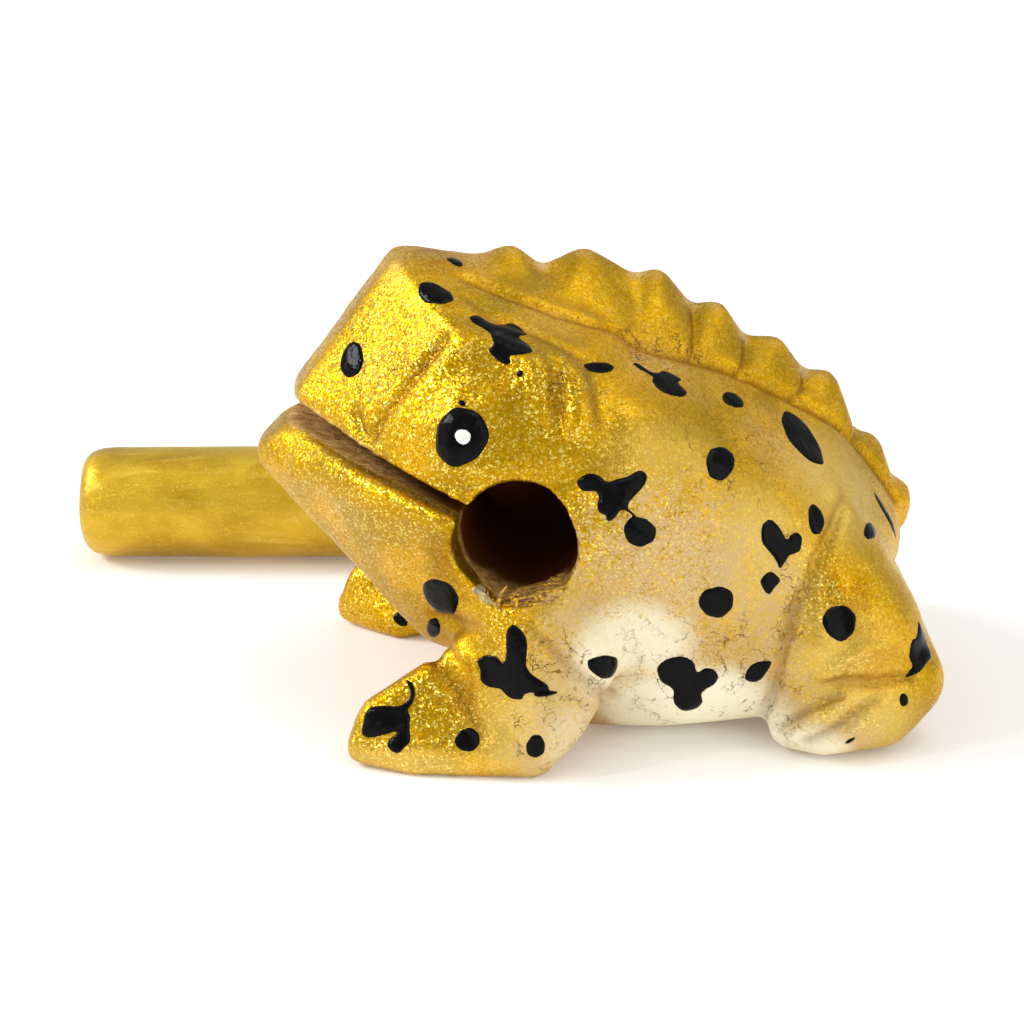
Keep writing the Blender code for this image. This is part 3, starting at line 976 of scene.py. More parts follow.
@dataclass(frozen=True)
class GoldFlake:
    """Gold flake paint, thin in places over a cream ground on carved wood."""

    gold: Colour = linear(224, 172, 8)
    deep_gold: Colour = linear(174, 120, 2)
    olive: Colour = linear(190, 148, 6)
    cream: Colour = linear(254, 248, 220)
    pink: Colour = linear(208, 176, 122)
    wash: Colour = linear(228, 196, 104)
    tan: Colour = linear(206, 164, 92)
    stain: Colour = linear(196, 128, 10)
    wood: Colour = linear(214, 172, 100)
    wood_shade: Colour = linear(164, 122, 62)
    # Painted shade colour for the bores' depths and the back of the mouth slit.
    hollow_shade: Colour = linear(92, 50, 20)
    crack: Colour = linear(78, 50, 16)
    # Painted shade colour for the carved creases, with paint and dirt pooled in them.
    groove: Colour = linear(132, 84, 14)
    # Painted glint colour for bright flakes.
    painted_glint: Colour = linear(255, 236, 120)
    flake_size: float = 0.21

    def build(self) -> bpy.types.Material:
        """Make the material."""
        sheet = NodeSheet("gold_flake_on_wood")
        bare, dark = sheet.field(Zone.BARE), sheet.field(Zone.DARK)
        cream, tan, warm = sheet.field(Zone.CREAM), sheet.field(Zone.TAN), sheet.field(Zone.WARM)
        sheen, pale_wash = sheet.field(Zone.SHEEN), sheet.field(Zone.PALE)
        medium = sheet.mottle(2.2, 5.0)
        fine = sheet.mottle(0.5, 3.0)
        cell = sheet.cells(self.flake_size)
        chance = sheet.split(cell.also("Color"))
        second_chance = chance.also("Green")
        # The cream ground shows between the flakes where the gold is thin
        thin = (cream + 0.8 * (medium - 0.5) * (cream * 3.0).clamped()).clamped()
        cover = second_chance * 0.55 + (fine - 0.5) * 0.9 + 0.22
        ground = (thin * 1.1 - cover).step(-0.32, 0.32)
        gold = self.gilding(sheet, medium, tan, warm)
        gold = sheet.mix(chance.step(0.48, 0.0) * 0.7, gold, self.deep_gold)
        wash = (pale_wash * (0.55 + 0.9 * medium)).clamped() * (1.0 - 0.6 * warm)
        gold = sheet.mix(wash * 0.85, gold, self.wash)
        # Painted glints: bright flakes mixed into the colour, most where the glitter is thick.
        painted_glints = chance.step(0.74, 0.95) * (0.25 + 0.75 * sheen) * (1.0 - 0.5 * ground)
        pale = sheet.mix(cream.step(0.55, 0.95), self.pink, self.cream)
        colour = sheet.mix(ground * 0.93, gold, pale)
        colour = sheet.mix(painted_glints * 0.85, colour, self.painted_glint)
        # Painted shade in the carved creases, with paint and dirt pooled in them.
        crease = sheet.field(Zone.CREASE)
        colour = sheet.mix((crease * (0.35 + 0.8 * fine)).clamped() * 0.62, colour, self.groove)
        line = self.crazing(sheet)
        colour = sheet.mix(line * 0.85, colour, self.crack)
        fibre = sheet.mottle(0.9, 6.0, (1.0, 0.3, 1.6))
        wood = sheet.mix(fibre.step(0.35, 0.65), self.wood_shade, self.wood)
        colour = sheet.mix(bare, colour, wood)
        painted = 1.0 - bare
        metallic = painted * (1.0 - ground * 0.9) * (0.96 - 0.35 * tan - 0.35 * wash) * (1.0 - line)
        roughness = 0.38 + 0.14 * ground + 0.10 * tan + 0.10 * medium - 0.09 * sheen
        roughness = roughness.greatest(bare * 0.75)
        sheet.finish(
            Base_Color=colour, Metallic=metallic, Roughness=roughness, Coat_Weight=painted * 0.05,
            Coat_Roughness=0.22, Specular_IOR_Level=0.25,
            Normal=self.relief(sheet, cell, fine, ground, sheen, line, fibre * bare),
        )
        # Painted shade: where that field is high, the finish fades to a matt dark colour.
        return sheet.fade_to_dull(dark, self.hollow_shade)

    def gilding(self, sheet: NodeSheet, medium: Wire, tan: Wire, warm: Wire) -> Wire:
        """Return the gold's own colour, with its thin tan areas and its orange stains."""
        broad = sheet.mottle(8.0, 4.0)
        gold = sheet.mix(broad.step(0.40, 0.62), self.olive, self.gold)
        gold = sheet.mix(tan * (0.35 + 0.6 * medium.step(0.35, 0.65)), gold, self.tan)
        gold = sheet.mix(warm * medium.step(0.28, 0.6), gold, self.stain)
        pit = sheet.cells(1.3)
        chosen = sheet.split(pit.also("Color")).step(0.62, 0.70)
        return sheet.mix(pit.step(0.13, 0.07) * chosen * (0.25 + 0.6 * tan), gold, self.crack)

    def crazing(self, sheet: NodeSheet) -> Wire:
        """Return the cracks in the paint, 0 to 1."""
        craze = sheet.field(Zone.CRAZE)
        edge = sheet.cells(3.2, "DISTANCE_TO_EDGE", sheet.warped(1.3, 2.6))
        gaps = sheet.mottle(2.0, 3.0).step(0.46, 0.60)
        width = 0.004 + 0.024 * sheet.mottle(1.2, 2.0)
        big = (1.0 - (edge / width).step(0.45, 1.25)) * (craze * 1.6 * gaps).clamped()
        small_edge = sheet.cells(0.9, "DISTANCE_TO_EDGE", sheet.warped(0.8, 0.8))
        patchy = sheet.mottle(2.0, 2.0).step(0.50, 0.66)
        small = (1.0 - small_edge.step(0.02, 0.07)) * craze * patchy * 0.55
        return big.greatest(small)

    def relief(self, sheet: NodeSheet, cell: Wire, fine: Wire, ground: Wire, sheen: Wire, line: Wire,
               fibre: Wire) -> Wire:
        """Return the bumped normal: brushed lumps, tilted flakes, cracks and wood fibres."""
        lumps = sheet.bump(sheet.mottle(1.1, 4.0), 0.14, 0.6)
        tilt = sheet.flake_slope(cell) * (0.22 + 0.45 * sheen) * (1.0 - 0.6 * ground)
        flakes = sheet.bump(tilt, METRE, 0.85, lumps)
        grains = sheet.bump(fine, 0.06, 0.6, flakes)
        cracked = sheet.bump(1.0 - line, 0.14, 0.9, grains)
        return sheet.bump(fibre, 0.35, 0.8, cracked)


@dataclass(frozen=True)
class BlackEnamel:
    """Glossy black enamel with a slightly uneven skin."""

    tint: Colour = linear(4, 4, 5)
    dust: Colour = linear(17, 19, 21)

    def build(self) -> bpy.types.Material:
        """Make the material."""
        sheet = NodeSheet("black_enamel")
        cloud = sheet.mottle(1.6, 4.0)
        colour = sheet.mix(cloud.step(0.45, 0.75) * 0.6, self.tint, self.dust)
        return sheet.finish(
            Base_Color=colour, Roughness=0.08 + 0.10 * cloud.step(0.4, 0.75), Specular_IOR_Level=0.10,
            Normal=sheet.bump(sheet.mottle(0.7, 3.0), 0.16, 0.5),
        )


@dataclass(frozen=True)
class WhiteEnamel:
    """The white dab in each eye."""

    tint: Colour = linear(244, 244, 240)
    shade: Colour = linear(226, 226, 218)

    def build(self) -> bpy.types.Material:
        """Make the material."""
        sheet = NodeSheet("white_enamel")
        colour = sheet.mix(sheet.mottle(0.5, 2.0), self.tint, self.shade)
        return sheet.finish(Base_Color=colour, Roughness=0.3 + 0.1 * sheet.mottle(0.4, 2.0))


@dataclass(frozen=True)
class Lobe:
    """One brush dab: a place on the left side, its half sizes and its tilt from fore-and-aft."""

    x: float
    y: float
    z: float
    long: float
    wide: float
    tilt: float = 0.0


@dataclass(frozen=True)
class Blot:
    """A spot: dabs that ran together, or one outline drawn flat round an anchor on the left side.

    Each point of the outline is a distance back and a distance up from the anchor.  The name
    says which spot it is, and goes to the log.
    """

    name: str
    lobes: tuple[Lobe, ...] = ()
    height: float = 0.20
    anchor: Point | None = None
    outline: tuple[tuple[float, float], ...] = ()


class SurfaceCoat:
    """Lays raised paint on a surface."""

    sunk = 0.45
    brush_azimuth = 85.0
    brush_elevation = 19.0

    def __init__(self, body: bpy.types.Object) -> None:
        """Keep the surface to paint on."""
        points = coordinates(body)
        faces = [tuple(face.vertices) for face in body.data.polygons]
        self.tree = BVHTree.FromPolygons([Vector(point) for point in points], faces)

    def frame_at(self, place: Vector) -> tuple[Vector, Vector, Vector, Vector]:
        """Return the surface point nearest a place, its normal, forward and up directions."""
        spot, normal, _, _ = self.tree.find_nearest(place)
        near = self.tree.find_nearest_range(place, 1.2)
        for _, other, _, _ in near:
            normal = normal + other
        normal.normalize()
        forward = Vector((0.0, -1.0, 0.0))
        forward = (forward - normal * forward.dot(normal)).normalized()
        up = forward.cross(normal)
        return spot, normal, forward, up

    def dab(self, shape: bmesh.types.BMesh, lobe: Lobe, side: Side, height: float, seed: float,
            rings: int = 7, around: int = 36) -> None:
        """Add one closed dab of paint, sunk a little into the surface.

        Args:
            shape: The bmesh to add to, in metres.
            lobe: The dab.
            side: The side it is on.
            height: Its thickness at the middle, in mm.
            seed: Varies its outline.
            rings: Rings from the middle to the edge.
            around: Points round each ring.
        """
        sign = side.value
        spot, normal, forward, up = self.frame_at(Vector((sign * lobe.x, lobe.y, lobe.z)))
        up *= sign
        tilt = math.radians(lobe.tilt)
        long_way = (forward * math.cos(tilt) + up * math.sin(tilt)) * self.flooded(lobe.long)
        wide_way = (up * math.cos(tilt) - forward * math.sin(tilt)) * self.flooded(lobe.wide)
        layers = []
        for level in (1.0, -1.0):
            layer = []
            for ring in range(1, rings + 1):
                share = ring / rings
                lift = height * math.sqrt(max(0.0, 1.0 - share ** 3.0)) if level > 0 else -self.sunk
                row = []
                for step in range(around):
                    angle = math.tau * step / around
                    reach = share * self.wobble(angle, seed)
                    flat = long_way * (reach * math.cos(angle)) + wide_way * (reach * math.sin(angle))
                    row.append(shape.verts.new(self.drape(spot + flat, normal, lift) * MM))
                layer.append(row)
            lift = height if level > 0 else -self.sunk
            middle = shape.verts.new(self.drape(spot, normal, lift) * MM)
            layers.append((middle, layer))
        for middle, layer in layers:
            first = layer[0]
            for here, there in zip(first, first[1:] + first[:1]):
                shape.faces.new((middle, here, there))
            for inner, outer in zip(layer, layer[1:]):
                for index in range(around):
                    after = (index + 1) % around
                    shape.faces.new((inner[index], outer[index], outer[after], inner[after]))
        top_edge, low_edge = layers[0][1][-1], layers[1][1][-1]
        for index in range(around):
            after = (index + 1) % around
            shape.faces.new((top_edge[index], low_edge[index], low_edge[after], top_edge[after]))

    @staticmethod
    def flooded(reach: float) -> float:
        """Return a dab's half size, in mm, after it has spread a little."""
        return 1.03 * reach + 0.08

    @staticmethod
    def wobble(angle: float, seed: float) -> float:
        """Return how much a hand-painted edge bulges at an angle, about 1."""
        waves = ((2, 0.05, 1.0), (3, 0.035, 2.3), (7, 0.02, 5.1))
        return 1.0 + sum(high * math.sin(count * angle + shift * seed) for count, high, shift in waves)

    @staticmethod
    def rounded(outline: Sequence[tuple[float, float]], parts: int = 4) -> np.ndarray:
        """Return a closed outline with its corners rounded by a spline through its points."""
        corners = np.array(outline, float)
        before, after = np.roll(corners, 1, axis=0), np.roll(corners, -1, axis=0)
        beyond = np.roll(corners, -2, axis=0)
        rows = []
        for part in range(parts):
            t = part / parts
            rows.append(0.5 * (2.0 * corners + (after - before) * t
                               + (2.0 * before - 5.0 * corners + 4.0 * after - beyond) * t * t
                               + (3.0 * corners - before - 3.0 * after + beyond) * t ** 3))
        return np.stack(rows, axis=1).reshape(-1, 2)

    @staticmethod
    def inside_depth(grid: np.ndarray, curve: np.ndarray) -> tuple[np.ndarray, np.ndarray]:
        """Return how deep inside a closed curve each flat point lies, and its nearest curve point."""
        best = np.full(len(grid), 1e9)
        nearest = np.zeros_like(grid)
        inside = np.zeros(len(grid), bool)
        for start, end in zip(curve, np.roll(curve, -1, axis=0)):
            span = end - start
            share = np.clip((grid - start) @ span / max(span @ span, 1e-9), 0.0, 1.0)
            place = start + share[:, None] * span
            gap = np.linalg.norm(grid - place, axis=1)
            closer = gap < best
            best = np.where(closer, gap, best)
            nearest[closer] = place[closer]
            crosses = (start[1] > grid[:, 1]) != (end[1] > grid[:, 1])
            rise = span[1] if abs(span[1]) > 1e-12 else 1e-12
            inside ^= crosses & (grid[:, 0] < start[0] + span[0] * (grid[:, 1] - start[1]) / rise)
        return np.where(inside, best, -best), nearest

    def stencil(self, shape: bmesh.types.BMesh, blot: Blot, side: Side, cell: float = 0.17) -> None:
        """Add one closed blot from its outline, laid on from beside and above the frog.

        Args:
            shape: The bmesh to add to, in metres.
            blot: The blot.
            side: The side it is on.
            cell: The size of its grid, in mm.
        """
        turn, rise = math.radians(self.brush_azimuth), math.radians(self.brush_elevation)
        sign = side.value
        brush = Vector((sign * math.sin(turn) * math.cos(rise), -math.cos(turn) * math.cos(rise),
                        math.sin(rise)))
        back = Vector((sign * math.cos(turn), math.sin(turn), 0.0))
        up = Vector((-sign * math.sin(turn) * math.sin(rise), math.cos(turn) * math.sin(rise),
                     math.cos(rise)))
        anchor = Vector((sign * blot.anchor[0], *blot.anchor[1:]))
        curve = self.rounded(blot.outline)
        low, high = curve.min(axis=0) - cell, curve.max(axis=0) + cell
        across, tall = (np.arange(low[axis], high[axis] + cell, cell) for axis in (0, 1))
        grid = np.stack(np.meshgrid(across, tall, indexing="ij"), axis=-1).reshape(-1, 2)
        depth, nearest = self.inside_depth(grid, curve)
        edge = np.abs(depth) < 0.55 * cell
        grid[edge] = nearest[edge]
        depth[edge] = 0.0
        tops: dict[int, bmesh.types.BMVert] = {}
        lows: dict[int, bmesh.types.BMVert] = {}
        for index in np.flatnonzero(depth >= 0.0):
            place = anchor + back * grid[index][0] + up * grid[index][1]
            lift = blot.height * min(1.0, math.sqrt(depth[index] / 0.55))
            tops[index] = shape.verts.new(self.drape(place, brush, lift) * MM)
            lows[index] = shape.verts.new(self.drape(place, brush, -self.sunk) * MM)
        rows = len(tall)
        rims: dict[tuple[int, int], int] = {}
        for index in list(tops):
            ring = (index, index + rows, index + rows + 1, index + 1)
            if (index + 1) % rows == 0 or any(corner not in tops for corner in ring):
                continue
            shape.faces.new([tops[corner] for corner in ring])
            shape.faces.new([lows[corner] for corner in reversed(ring)])
            for pair in zip(ring, ring[1:] + ring[:1]):
                key = (min(pair), max(pair))
                rims[key] = rims.get(key, 0) + 1
        for (first, second), uses in rims.items():
            if uses == 1:
                shape.faces.new((tops[first], tops[second], lows[second], lows[first]))
        loose = [vert for vert in (*tops.values(), *lows.values()) if not vert.link_faces]
        bmesh.ops.delete(shape, geom=loose, context="VERTS")

    def drape(self, place: Vector, normal: Vector, lift: float) -> Vector:
        """Drop a point onto the surface along a direction, then lift it off."""
        hit, face_normal, _, _ = self.tree.ray_cast(place + normal * 4.0, -normal, 8.0)
        if hit is None:
            hit, face_normal, _, _ = self.tree.find_nearest(place)
        return hit + (face_normal + normal).normalized() * lift

    def blots(self, name: str, blots: Sequence[Blot], side: Side, grid: float = 0.15) -> bpy.types.Object:
        """Make one object from a side's blots.

        Args:
            name: The object's name.
            blots: The blots.
            side: The side they are on.
            grid: Voxel size used to run their dabs together, in mm.

        Returns:
            The object.
        """
        shape = bmesh.new()
        for number, blot in enumerate(blots):
            LOG.debug("%s: %s", name, blot.name)
            if blot.outline:
                self.stencil(shape, blot, side)
            for index, lobe in enumerate(blot.lobes):
                self.dab(shape, lobe, side, blot.height, 1.7 * number + 0.9 * index)
        item = link_mesh(name, shape)
        remesh(item, grid, 3)
        item.data.shade_smooth()
        return item


BROW = (
    (-3.9, 2.4), (-3.5, 2.7), (-2.8, 2.7), (-1.9, 2.1), (-1.0, 1.7), (0.0, 1.7), (0.4, 1.9), (1.2, 1.7),
    (1.8, 1.3), (2.1, 0.9), (2.5, 0.4), (1.5, 0.2), (2.3, -0.4), (3.1, -1.4), (2.6, -1.8), (1.2, -2.0),
    (0.5, -2.1), (0.8, -2.6), (0.3, -3.0), (-0.5, -2.7), (-1.4, -1.9), (-1.8, -1.2), (-1.3, -0.8),
    (-1.4, -0.1), (-1.7, 0.6), (-2.7, 1.3), (-3.5, 1.8),
)
WING = (
    (-3.7, 2.1), (-3.3, 2.3), (-2.6, 2.0), (-1.7, 1.4), (-0.9, 1.2), (-0.3, 1.5), (0.5, 1.3), (1.4, 0.9),
    (2.0, 0.4), (1.5, 0.1), (2.1, -0.5), (2.5, -1.1), (1.9, -1.6), (0.7, -1.5), (-0.3, -1.2), (-1.2, -0.5),
    (-1.6, 0.3), (-1.4, 0.6), (-2.1, 1.0), (-3.0, 1.5),
)
CROSS = (
    (-3.5, 1.2), (-2.7, 1.8), (-1.9, 2.0), (-1.0, 1.7), (-0.2, 1.1), (0.8, 1.4), (2.0, 1.7), (2.8, 2.2),
    (3.5, 2.3), (4.1, 1.7), (3.9, 0.9), (3.4, 0.2), (2.8, -0.4), (2.1, -1.2), (2.0, -1.8), (2.4, -2.1),
    (2.9, -2.7), (2.5, -2.6), (1.9, -2.2), (1.2, -2.0), (0.6, -2.8), (0.0, -3.2), (-0.5, -3.0), (-0.4, -2.6),
    (-1.2, -2.2), (-1.4, -1.3), (-1.2, -0.6), (-1.6, 0.0), (-2.8, 0.0), (-3.3, 0.5),
)
HEART = (
    (-2.5, 0.9), (-2.4, 2.0), (-1.8, 2.7), (-1.1, 2.7), (-0.4, 2.0), (0.1, 1.2), (0.5, 0.4), (0.8, 1.1),
    (1.6, 1.4), (2.2, 0.9), (2.2, 0.2), (1.9, -0.8), (0.8, -1.2), (0.3, -1.9), (-0.4, -2.7), (-0.8, -1.9),
    (-1.5, -0.9), (-2.3, 0.0),
)
TREFOIL = (
    (-3.5, 1.2), (-3.0, 2.0), (-2.1, 2.5), (-1.0, 2.7), (0.1, 2.4), (0.7, 1.8), (1.0, 0.9), (1.7, 1.3),
    (2.6, 1.3), (3.2, 0.8), (3.4, 0.2), (3.0, -0.6), (2.0, -1.2), (1.6, -1.7), (1.8, -2.5), (1.4, -3.2),
    (0.5, -3.6), (-0.5, -3.6), (-1.3, -3.0), (-1.6, -2.2), (-1.6, -1.3), (-2.1, -0.8), (-3.0, -0.2),
)
HAND = (
    (-4.1, 0.0), (-3.6, 0.6), (-2.8, 0.8), (-1.9, 0.6), (-1.3, 0.0), (-1.0, 0.8), (-1.0, 2.2), (-0.9, 3.5),
    (-0.3, 4.2), (0.5, 3.8), (1.2, 2.9), (1.4, 1.9), (1.3, 0.8), (1.3, -0.3), (1.9, -1.2), (2.8, -1.8),
    (3.5, -2.3), (3.7, -2.8), (2.9, -3.1), (1.2, -3.4), (0.8, -4.0), (-0.3, -4.0), (-1.1, -3.5),
    (-1.6, -3.0), (-2.8, -2.8), (-3.5, -2.4), (-3.8, -1.9), (-3.8, -1.0),
)
HOOK = (
    (-3.0, -1.9), (-2.8, -0.9), (-2.6, 0.1), (-2.0, 0.9), (-0.9, 1.1), (0.1, 1.1), (1.2, 1.1), (2.0, 1.6),
    (2.4, 2.2), (2.3, 3.0), (1.8, 3.7), (2.2, 3.9), (2.8, 3.3), (3.0, 2.3), (2.7, 1.3), (2.2, 0.6),
    (2.5, -0.1), (2.4, -1.2), (2.5, -2.7), (1.9, -3.4), (1.2, -4.1), (0.4, -3.9), (-0.1, -3.3), (0.1, -2.6),
    (0.8, -2.0), (1.5, -1.3), (0.6, -1.8), (-0.6, -2.2), (-1.9, -2.5), (-2.6, -2.4),
)
KITE = (
    (-0.2, 3.3), (0.5, 2.5), (1.0, 1.7), (1.2, 0.6), (1.6, -0.3), (1.5, -1.0), (0.8, -1.6), (0.3, -2.2),
    (-0.7, -2.8), (-1.7, -3.0), (-1.3, -2.2), (-0.9, -1.7), (-1.3, -0.8), (-1.3, 0.2), (-1.0, 1.3),
    (-0.5, 1.5), (-0.3, 2.5),
)
SLIVER = (
    (-1.5, 2.4), (-0.9, 1.9), (0.0, 0.5), (0.8, -0.9), (1.2, -2.0), (1.4, -3.6), (1.0, -2.8), (0.3, -1.4),
    (-0.8, 0.5), (-1.3, 1.6),
)
LEAF = ((-1.6, -0.7), (-1.2, 0.6), (-0.2, 1.2), (1.3, 1.3), (1.0, 0.2), (0.3, -0.9), (-0.7, -1.2))
DIAMOND = ((-1.3, 0.1), (-0.3, 1.2), (0.5, 0.9), (1.1, 0.1), (0.4, -0.7), (-0.1, -1.4), (-0.7, -1.1))


@dataclass
class Spots:
    """The black dots and blots, and the frog's face."""

    left: tuple[Blot, ...] = (
        Blot("forehead_dot", (Lobe(8.8, -18.2, 50.1, 2.25, 1.4, 43.0),)),
        Blot("crown_sliver", (Lobe(2.7, -15.6, 52.1, 1.1, 0.7, 60.0),)),
        Blot("brow", anchor=(16.0, -11.2, 46.8), outline=BROW),
        Blot("brow_speck", (Lobe(19.6, -9.9, 43.9, 0.38, 0.3, 87.0),), 0.12),
        Blot("eye_speck", (Lobe(20.1, -16.1, 40.9, 0.42, 0.3, 34.0),), 0.12),
        Blot("back_1", (Lobe(16.3, -1.0, 43.4, 2.1, 0.62, -14.0),)),
        Blot("back_2", height=0.14, anchor=(14.0, 6.6, 40.8), outline=WING),
        Blot("back_3", (Lobe(11.2, 14.6, 37.8, 1.45, 1.05, -24.0),)),
        Blot("back_4", (Lobe(10.6, 22.7, 33.0, 3.5, 2.3, 59.0),), 0.14),
        Blot("flank_1", (Lobe(20.1, 11.9, 33.5, 2.1, 1.65, -43.0),)),
        Blot("cross", height=0.26, anchor=(25.1, -0.8, 32.2), outline=CROSS),
        Blot("flank_2", (Lobe(26.6, 2.3, 28.1, 1.75, 1.5, 8.0),)),
        Blot("heart", anchor=(22.8, 18.5, 24.8), outline=HEART),
        Blot("flank_3", (Lobe(19.8, 22.6, 26.5, 1.75, 1.0, -81.0),)),
        Blot("flank_4", anchor=(24.6, 17.0, 21.2), outline=DIAMOND),
        Blot("hip", (Lobe(16.9, 29.5, 24.0, 1.9, 0.85, -51.0),)),
        Blot("rump", height=0.14, anchor=(8.7, 32.9, 23.3), outline=SLIVER),
        Blot("belly_1", (Lobe(26.3, 10.8, 19.7, 1.9, 1.75, 60.0),)),
        Blot("belly_2", (Lobe(26.8, -1.1, 12.8, 2.4, 1.2, 21.0),)),
        Blot("trefoil", anchor=(24.4, 8.2, 10.0), outline=TREFOIL),
        Blot("leaf", anchor=(23.4, 16.2, 10.2), outline=LEAF),
        Blot("thigh", (Lobe(25.2, 24.7, 16.5, 1.95, 1.8, -8.0),)),
        Blot("hock", anchor=(22.8, 34.2, 11.9), outline=KITE),
        Blot("heel", (Lobe(25.3, 32.1, 7.1, 0.68, 0.54, 78.0),), 0.14),
        Blot("toe_dash", (Lobe(27.1, 25.8, 3.4, 0.62, 0.34, -9.0),), 0.14),
        Blot("jaw", (Lobe(19.4, -18.8, 18.3, 3.1, 2.1, -79.0),), 0.26),
        Blot("chin", (Lobe(15.8, -20.0, 12.5, 2.0, 0.8, -84.0),), 0.26),
        Blot("shoulder", (Lobe(27.9, -7.8, 10.4, 1.2, 0.2, -8.0),), 0.26, (26.4, -11.0, 13.5), HAND),
        Blot("foot", height=0.32, anchor=(23.0, -24.6, 6.4), outline=HOOK),
        Blot("foot_dot", (Lobe(26.1, -16.1, 4.5, 1.3, 1.25, 89.0),)),
        Blot("elbow", (Lobe(28.4, -8.9, 4.5, 1.32, 1.0, -85.0),)),
    )
    right: tuple[Blot, ...] = (
        Blot("forehead_dot", (Lobe(7.6, -17.4, 50.6, 1.9, 1.2, 20.0),)),
        Blot("brow", anchor=(15.4, -12.0, 47.0), outline=WING),
        Blot("back_1", (Lobe(14.6, 1.4, 43.6, 1.7, 0.9, 10.0),)),
        Blot("back_2", (Lobe(14.6, 8.6, 39.4, 2.2, 1.5, -20.0), Lobe(12.4, 6.4, 41.4, 1.6, 1.0, 30.0))),
        Blot("back_3", (Lobe(9.8, 16.8, 37.2, 1.5, 1.1, -40.0),)),
        Blot("back_4", (Lobe(12.6, 21.4, 32.4, 2.8, 1.6, 50.0),)),
        Blot("flank_1", (Lobe(22.0, 9.0, 32.8, 1.9, 1.7, 0.0),)),
        Blot("cross", height=0.24, anchor=(25.4, 0.4, 31.0), outline=HEART),
        Blot("flank_2", (Lobe(26.6, 5.4, 26.2, 1.6, 1.45, 30.0),)),
        Blot("heart", anchor=(23.2, 16.2, 26.6), outline=LEAF),
        Blot("flank_3", (Lobe(25.6, 13.6, 20.6, 1.5, 1.3, 0.0),)),
        Blot("belly_1", (Lobe(26.2, 7.2, 16.8, 1.8, 1.6, 0.0),)),
        Blot("belly_2", (Lobe(25.6, 0.8, 12.0, 2.0, 1.3, -20.0),)),
        Blot("trefoil", anchor=(24.2, 10.4, 9.6), outline=DIAMOND),
        Blot("thigh", (Lobe(24.8, 23.4, 18.4, 1.9, 1.7, 0.0),)),
        Blot("thigh_low", (Lobe(25.6, 27.4, 13.4, 1.3, 1.1, 30.0),)),
        Blot("hock", (Lobe(22.4, 34.0, 13.0, 1.8, 1.1, 60.0),)),
        Blot("toe", (Lobe(27.0, 25.0, 5.2, 1.1, 0.8, 0.0),)),
        Blot("jaw", (Lobe(18.4, -20.6, 20.6, 2.4, 1.7, -60.0),), 0.24),
        Blot("lip", (Lobe(13.4, -28.4, 30.0, 1.3, 0.9, -20.0),)),
        Blot("shoulder", height=0.24, anchor=(26.4, -10.6, 13.4), outline=TREFOIL),
        Blot("foot", (Lobe(23.6, -23.0, 5.4, 2.0, 1.2, -10.0), Lobe(24.6, -21.0, 4.6, 1.2, 1.0, 40.0)), 0.26),
        Blot("foot_dot", (Lobe(26.4, -14.4, 5.0, 1.2, 1.1, 0.0),)),
        Blot("elbow", (Lobe(28.2, -6.8, 6.0, 1.4, 1.1, 40.0),)),
        Blot("inner_foot", (Lobe(15.4, -21.4, 2.6, 1.0, 0.7, -30.0),)),
    )
    nostril: Lobe = Lobe(6.7, -27.4, 42.2, 2.05, 1.6, 77.0)
    eye: Lobe = Lobe(21.8, -16.4, 37.7, 3.0, 2.75, -89.0)
    glint: Lobe = Lobe(21.9, -16.1, 37.7, 0.76, 0.72, 0.0)

    def build(self, body: bpy.types.Object) -> None:
        """Paint the spots, eyes and nostrils on the body."""
        coat = SurfaceCoat(body)
        black = BlackEnamel().build()
        white = WhiteEnamel().build()
        for side, blots in ((Side.LEFT, self.left), (Side.RIGHT, self.right)):
            word = side.name.lower()
            spots = coat.blots(f"{word}_spots", blots, side)
            nostril = coat.blots(f"{word}_nostril", (Blot("nostril", (self.nostril,), 0.3),), side, 0.12)
            eye = coat.blots(f"{word}_eye", (Blot("eye", (self.eye,), 0.55),), side, 0.14)
            glint = Blot("glint", (self.raised_glint(coat, side),), 0.12)
            shine = SurfaceCoat(eye).blots(f"{word}_eye_glint", (glint,), side, 0.08)
            for piece, finish in ((spots, black), (nostril, black), (eye, black), (shine, white)):
                dress(piece, finish, "frog")

    def raised_glint(self, coat: SurfaceCoat, side: Side, rise: float = 1.4) -> Lobe:
        """Return the glint's dab moved out to the front of the eye's dome."""
        glint = self.glint
        spot, normal, *_ = coat.frame_at(Vector((side.value * glint.x, glint.y, glint.z)))
        x, y, z = spot + normal * rise
        return Lobe(side.value * x, y, z, glint.long, glint.wide, glint.tilt)


def dress(item: bpy.types.Object, finish: bpy.types.Material, body: str) -> None:
    """Give a piece its finish and its CAD body, and report it.

    Args:
        item: The piece.
        finish: Its material.
        body: The CAD body that it moves with.
    """
    item.data.materials.clear()
    item.data.materials.append(finish)
    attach(item, body)
    LOG.info("%s: %d faces", item.name, len(item.data.polygons))


